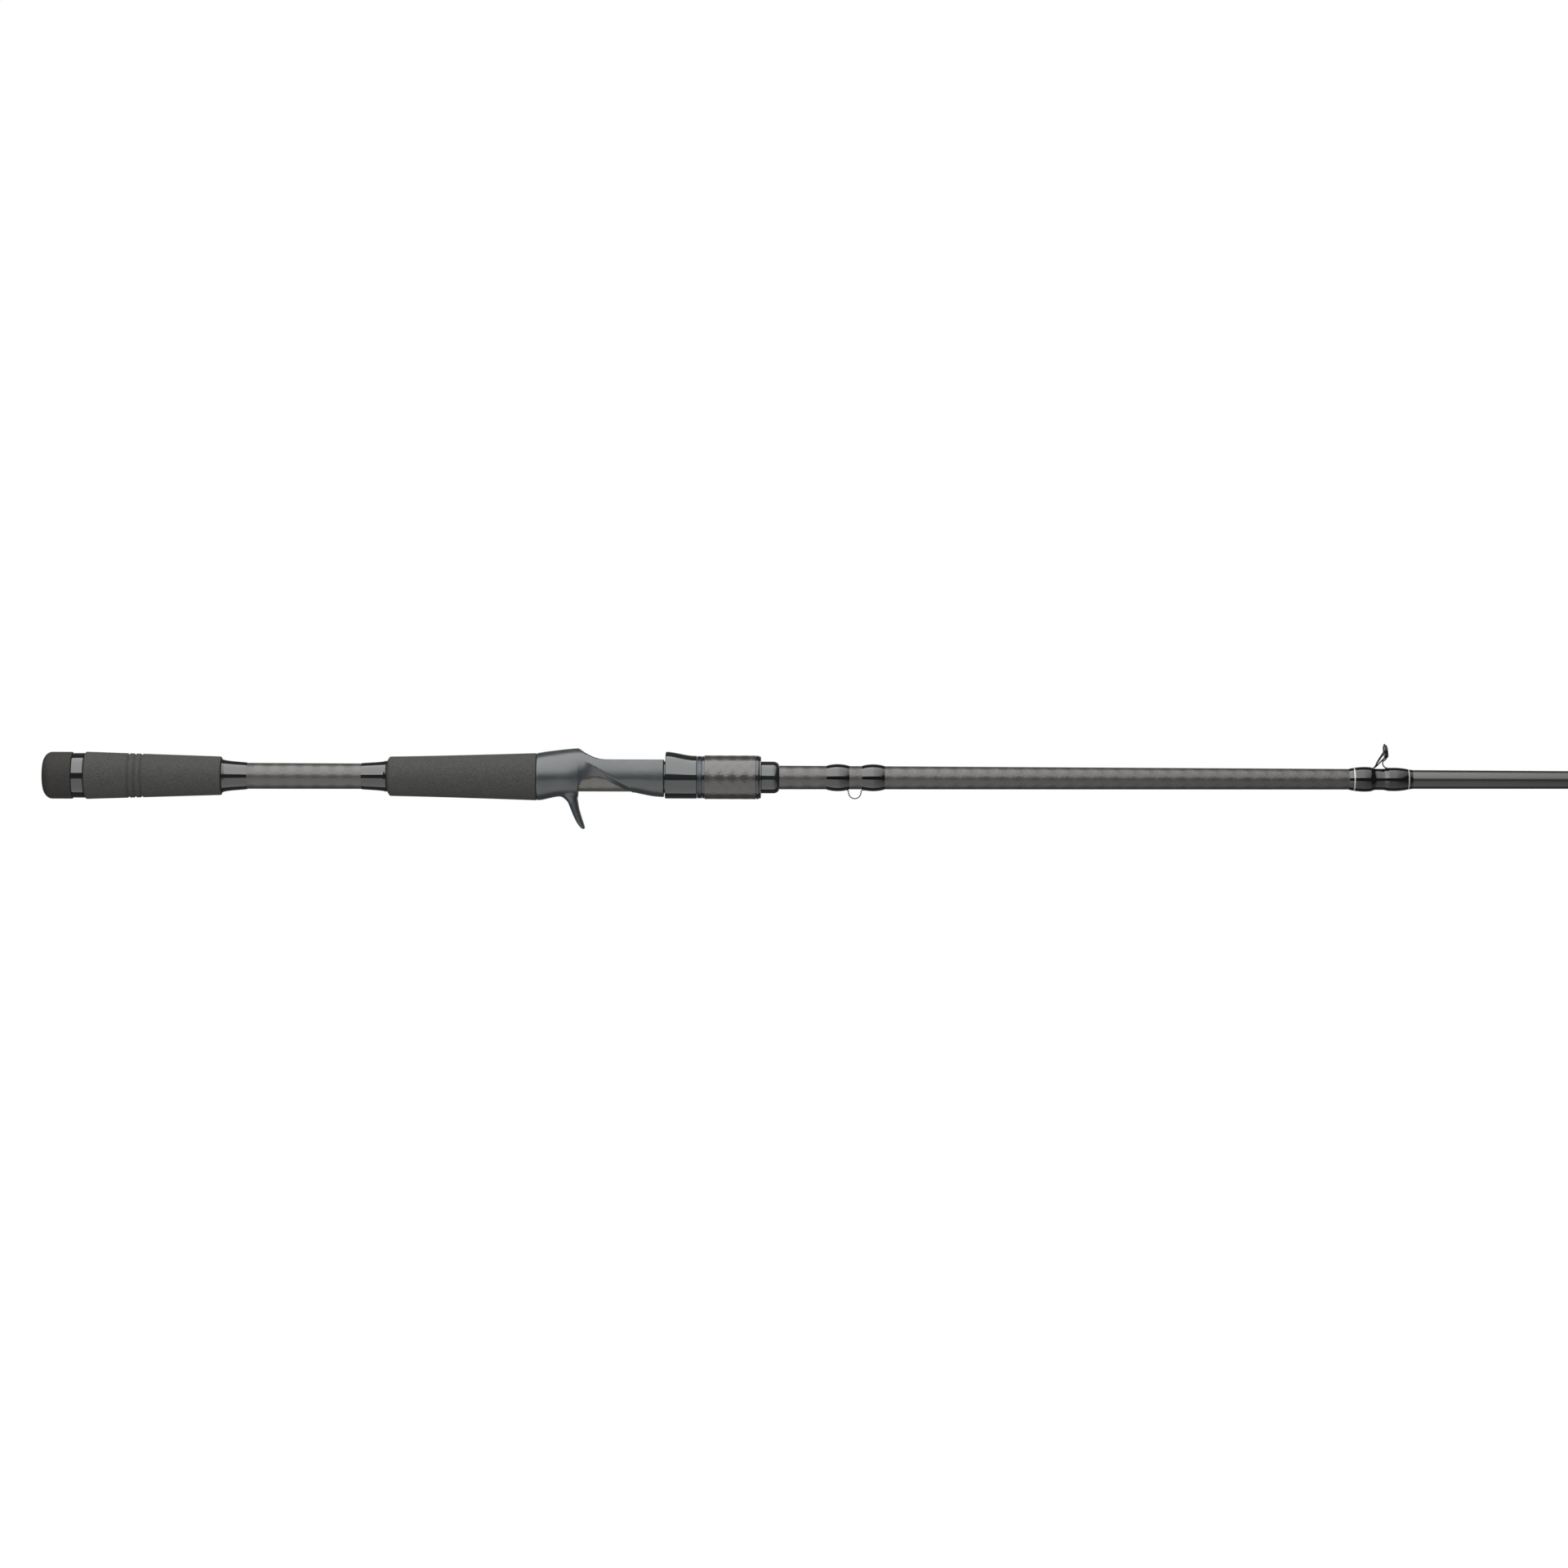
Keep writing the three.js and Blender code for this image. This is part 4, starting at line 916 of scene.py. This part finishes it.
# Sizes of the first guide, from the middle of its feet; the others are scaled.
guideShape = {
    "wire": 0.48, "hoop": 5.3, "hoopDrop": 0.3, "hoopAhead": 0.35, "lean": 7,
    # Wires from a foot up to the hoop, as (along, out to the side, up from the foot).
    "leg": [[-7.5, 0.75, 0.1], [-4.1, 0.6, 0.15], [-3.1, 0.75, 0.8], [-1.2, 2.3, 4.2]],
    "brace": [[-3.9, 0.4, 0.2], [-2.6, 0.6, 0.9], [0.5, 1.8, 4]],
    "frontLeg": [[7.5, 0, 0.1], [5, 0, 0.25], [3.6, 0, 0.9], [2.6, 0, 2.1], [2.2, 0, 3.6], [2.6, 0, 4.7],
                 [3.4, 0, 5.3]],
    # Where they meet the hoop, from its middle: along, and shares of its radius out and up.
    "legTop": [-0.45, 0.99, -0.05], "braceTop": [0.35, 0.68, -0.74], "frontTop": [0.65, 0, -1],
    "legWire": 0.82, "braceWire": 0.72, "frontWire": 0.85,  # shares of the hoop's wire
    "ringWidth": 2.5, "ringWall": 0.9, "ringAhead": 0.3,
    "wrapBefore": 20.2, "wrapAfter": 21.9,
    "rise": [[-20.2, 0.1], [-18.7, 0.5], [-15.4, 1.08], [-10.5, 1.47], [-7.3, 1.38], [-5.7, 1.22],
             [-4.3, 0.75], [-3, 0.34], [0, 0.27], [3, 0.34], [4.4, 0.75], [6.4, 1.3], [10.5, 1.5],
             [13.8, 1.3], [17, 0.9], [20.3, 0.27], [21.9, 0.06]],
    "bands": [[-17.15, -16.35], [18.8, 19.6]],
}


def leanAndPlace(bm, centre):
    turn = Matrix.Rotation(math.radians(-guideShape["lean"]), 4, "Y")
    bmesh.ops.transform(bm, matrix=Matrix.Translation(Vector(centre) * mm) @ turn, verts=bm.verts)
    return bm


wrapSunk = 0.02


# What a wrap's thickness stands on: the rod's surface with the end of the woven layer smoothed over by epoxy.
def wrapSeat(x):
    return blankRadius(x) + blank["sleeveWall"] * (1 - ease(sleeveEnd - 2.5, sleeveEnd + 4, x))


def makeGuide(number):
    node = f"guide_{number}"
    first, last = reach(node + "_wrap")
    shape = guideShape
    scale = (last - first) / (shape["wrapBefore"] + shape["wrapAfter"])
    x = first + shape["wrapBefore"] * scale
    low, high = (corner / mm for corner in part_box(node + "_ring"))
    centre = (low + high) / 2
    cx, cz = centre.x + shape["hoopAhead"] * scale, centre.z - shape["hoopDrop"] * scale
    thick = shape["wire"] * math.sqrt(scale)
    hoop = shape["hoop"] * scale - thick
    foot = rodSurface(x) + 0.15 + 0.3

    # The points of a wire, from its foot to its place on the hoop.
    def wirePoints(rows, top, side=1):
        points = [(x + along * scale, side * out * scale, foot + up * scale) for along, out, up in rows]
        along, out, up = top
        return points + [(cx + along * scale, side * hoop * out, cz + hoop * up)]

    frameWire = objectOf(
        leanAndPlace(turned(ovalSection(hoop, thick, thick, 14), 40), (cx, 0, cz)), f"guide{number}Frame"
    )
    for side in (-1, 1):
        points = wirePoints(shape["leg"], shape["legTop"], side)
        combine(frameWire, wire(points, thick * shape["legWire"], "leg", 2, 5), "UNION")
        points = wirePoints(shape["brace"], shape["braceTop"], side)
        combine(frameWire, wire(points, thick * shape["braceWire"], "brace", 2, 4), "UNION")
    points = wirePoints(shape["frontLeg"], shape["frontTop"])[::-1]
    combine(frameWire, wire(points, thick * shape["frontWire"], "frontLeg", 2, 6), "UNION")
    finishPiece(frameWire, "rod", [darkSteel], node + "_frame", crisp=50)

    outer = hoop - thick * 0.9
    wall, half = shape["ringWall"] * math.sqrt(scale), shape["ringWidth"] * scale / 2
    ring = turned(ovalSection(outer - wall / 2, half, wall / 2), 48)
    piece = objectOf(leanAndPlace(ring, (cx + shape["ringAhead"] * scale, 0, cz)), f"guide{number}Ring")
    finishPiece(piece, "rod", [ringCeramic], node + "_ring")

    # A wrap is sunk a hair into the rod, so that no gap shows at its ends.
    before, after = -shape["wrapBefore"], shape["wrapAfter"]
    bandEdges = [edge for band in shape["bands"] for edge in band]
    outer = []
    for stop in sorted(set(evenly(before, after, 70) + bandEdges)):
        along = x + stop * scale
        outer.append((along, wrapSeat(along) + follow(shape["rise"], stop) * scale + wrapSunk))
    inner = [(x + stop * scale, rodSurface(x + stop * scale) - wrapSunk) for stop in (after, 5, 4.9, before)]
    wrap = objectOf(turned(outer + inner, 80), f"guide{number}Wrap")
    finishPiece(wrap, "rod", [blackThread, silverThread], node + "_wrap")
    for face in wrap.data.polygons:
        along = (face.center.x / mm - x) / scale
        if any(start < along < end for start, end in shape["bands"]):
            face.material_index = 1


for number in range(1, 10):
    makeGuide(number)
print("guides made")

tipShape = {
    "hoop": 3.85, "wire": 0.38, "ringHalfWall": 0.38,
    "rise": [[0, 0.05], [0.1, 0.3], [0.3, 0.44], [0.7, 0.44], [0.9, 0.3], [1, 0.05]],
}


def makeTipTop():
    start, end = reach("tip_tube")
    low, high = (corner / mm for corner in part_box("tip_tube"))
    radius = high.z - 0.02
    hole = blankRadius(start) + 0.1
    profile = [(end - 1.2, 0), (end - 1.3, hole * 0.8), (end - 1.4, hole), (start, hole)]  # the inside
    profile += rearEdge(start, radius, 0.2)
    profile += quarter((end - 1, radius), (end, radius), (end, 0), 8)
    turnedPiece("tipTopTube", profile, "rod", darkSteel, "tip_tube", 64, closed=False)

    ringLow, ringHigh = (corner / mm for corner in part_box("tip_ring"))
    middle = (ringLow + ringHigh) / 2
    thick = tipShape["wire"]
    hoop = tipShape["hoop"] - thick
    bm = turned(ovalSection(hoop, thick, thick, 14), 48)
    bmesh.ops.translate(bm, verts=bm.verts, vec=(middle.x * mm, 0, middle.z * mm))
    frameWire = objectOf(bm, "tipTopFrame")
    for side in (-1, 1):
        points = [
            (start + 3, side * (radius * 0.8), radius * 0.75),
            (start + 7, side * radius * 0.85, radius * 0.9),
            (start + 11, side * (radius + 0.6), radius + 1.6),
            (middle.x - 0.1, side * hoop * 0.97, middle.z - hoop * 0.25),
        ]
        combine(frameWire, wire(points, thick * 0.85, "tipLeg", 2, 6), "UNION")
    points = [(start + 8, 0, radius + 0.2), (start + 12, 0, radius + 0.5), (middle.x, 0, middle.z - hoop)]
    combine(frameWire, wire(points, thick * 0.85, "tipStrut", 2, 6), "UNION")
    finishPiece(frameWire, "rod", [darkSteel], "tip_frame", crisp=50)

    outer, wall = hoop - thick * 0.9, tipShape["ringHalfWall"]
    bm = turned(ovalSection(outer - wall, (ringHigh.x - ringLow.x) / 2, wall, middle=middle.x), 48)
    bmesh.ops.translate(bm, verts=bm.verts, vec=(0, 0, middle.z * mm))
    finishPiece(objectOf(bm, "tipTopRing"), "rod", [ringCeramic], "tip_ring")

    start, end = reach("tip_wrap")
    outer = []
    for share in evenly(0, 1, 24):
        x = start + share * (end - start)
        outer.append((x, blankRadius(x) + wrapSunk + follow(tipShape["rise"], share)))
    inner = [(end, blankRadius(end) - wrapSunk), (start, blankRadius(start) - wrapSunk)]
    turnedPiece("tipTopWrap", outer + inner, "rod", blackThread, "tip_wrap", 48)


makeTipTop()
print("tip-top made")

stageShape = {"floor": -0.7, "front": -7, "back": 7, "left": -6, "right": 8}  # metres


def makeFloor():
    bm = bmesh.new()
    bmesh.ops.create_grid(bm, x_segments=8, y_segments=8, size=0.5)
    left, right, front, back = (stageShape[side] for side in ("left", "right", "front", "back"))
    bmesh.ops.scale(bm, vec=(right - left, back - front, 1), verts=bm.verts)
    middle = ((left + right) / 2, (front + back) / 2, stageShape["floor"])
    bmesh.ops.translate(bm, vec=middle, verts=bm.verts)
    floor = objectOf(bm, "paleFloor")
    # White acrylic lit from below, as even as the background.
    acrylic = newMaterial(
        "litWhiteAcrylic", Base_Color=linear("#303030"), Roughness=0.9,
        Emission_Color=linear("#ffffff"), Emission_Strength=1.0,
    )[0]
    floor.data.materials.append(acrylic)
    floor.visible_glossy = floor.visible_diffuse = False  # it gives back no light to the rod


# A soft box along the rod from start to end, which shines on it from between two edges given as (y, z).
def softBox(name, nearEdge, farEdge, start, end, radiance):
    along = Vector((1, 0, 0))
    up = Vector((0, farEdge[0] - nearEdge[0], farEdge[1] - nearEdge[1]))
    centre = Vector(((start + end) / 2, (nearEdge[0] + farEdge[0]) / 2, (nearEdge[1] + farEdge[1]) / 2))
    light = bpy.data.lights.new(name, "AREA")
    light.shape = "RECTANGLE"
    light.size, light.size_y = end - start, up.length
    light.energy = radiance * math.pi * light.size * light.size_y
    up.normalize()
    out = along.cross(up)
    if out.dot(Vector((0, centre.y, centre.z))) < 0:
        up, out = -up, -out
    lamp = bpy.data.objects.new(name, light)
    bpy.context.scene.collection.objects.link(lamp)
    lamp.matrix_world = Matrix.Translation(centre) @ Matrix((along, up, out)).transposed().to_4x4()
    lamp.visible_camera = False


# Edges are (y, z), in metres. The two long boxes fall off towards the tip, so each is a row of shorter ones.
lightShape = {
    "upper": {"near": (-2.0, 0.436), "far": (0.28, 1.6), "radiance": 6},
    "lower": {"near": (-1.9, -0.57), "far": (0.07, -0.62), "radiance": 2.1, "fallPower": 1.7},
    "back": {"near": (1.8, -0.6), "far": (1.5, 0.75), "radiance": 0.8, "end": 3.0},
    "start": -0.7, "fallFrom": 0.51, "fallTo": 1.57,
    "fall": [[-0.7, 1], [0.5, 1], [0.54, 0.98], [0.63, 0.83], [0.76, 0.72], [0.89, 0.66], [1.08, 0.54],
             [1.3, 0.34], [1.6, 0.14]],
    "ambient": (0.13, 0.13, 0.13, 1),
}


def makeLights():
    upper, lower, back = lightShape["upper"], lightShape["lower"], lightShape["back"]
    edges = [lightShape["start"]] + evenly(lightShape["fallFrom"], lightShape["fallTo"], 14)
    for i, (start, end) in enumerate(zip(edges, edges[1:])):
        share = follow(lightShape["fall"], (start + end) / 2) if i else 1
        softBox(f"upperBox{i}", upper["near"], upper["far"], start, end, upper["radiance"] * share)
        dim = lower["radiance"] * share ** lower["fallPower"]
        softBox(f"lowerBox{i}", lower["near"], lower["far"], start, end, dim)
    softBox("backBox", back["near"], back["far"], lightShape["start"], back["end"], back["radiance"])
    world = bpy.data.worlds.new("whiteStudio")
    bpy.context.scene.world = world
    world.use_nodes = True
    tree = world.node_tree
    tree.nodes.clear()
    # White to the camera, and a soft grey for what the rod receives.
    ray = tree.nodes.new("ShaderNodeLightPath")
    mix, out = tree.nodes.new("ShaderNodeMixShader"), tree.nodes.new("ShaderNodeOutputWorld")
    for i, colour in ((1, lightShape["ambient"]), (2, linear("#ffffff"))):
        sky = tree.nodes.new("ShaderNodeBackground")
        sky.inputs["Color"].default_value = colour
        tree.links.new(sky.outputs[0], mix.inputs[i])
    tree.links.new(ray.outputs["Is Camera Ray"], mix.inputs[0])
    tree.links.new(mix.outputs[0], out.inputs["Surface"])


cameraShape = {"place": (0.490, -3.27, -0.0043), "lens": 113.5, "sensor": 36, "pitch": 90, "roll": -0.18}


def makeCamera():
    data = bpy.data.cameras.new("studioCamera")
    data.sensor_width = cameraShape["sensor"]
    data.lens = cameraShape["lens"]
    camera = bpy.data.objects.new("studioCamera", data)
    bpy.context.scene.collection.objects.link(camera)
    camera.location = cameraShape["place"]
    camera.rotation_euler = (math.radians(cameraShape["pitch"]), math.radians(cameraShape["roll"]), 0)
    bpy.context.scene.camera = camera


makeFloor()
makeLights()
makeCamera()
bpy.context.scene.view_settings.view_transform = "Standard"
print("stage made")
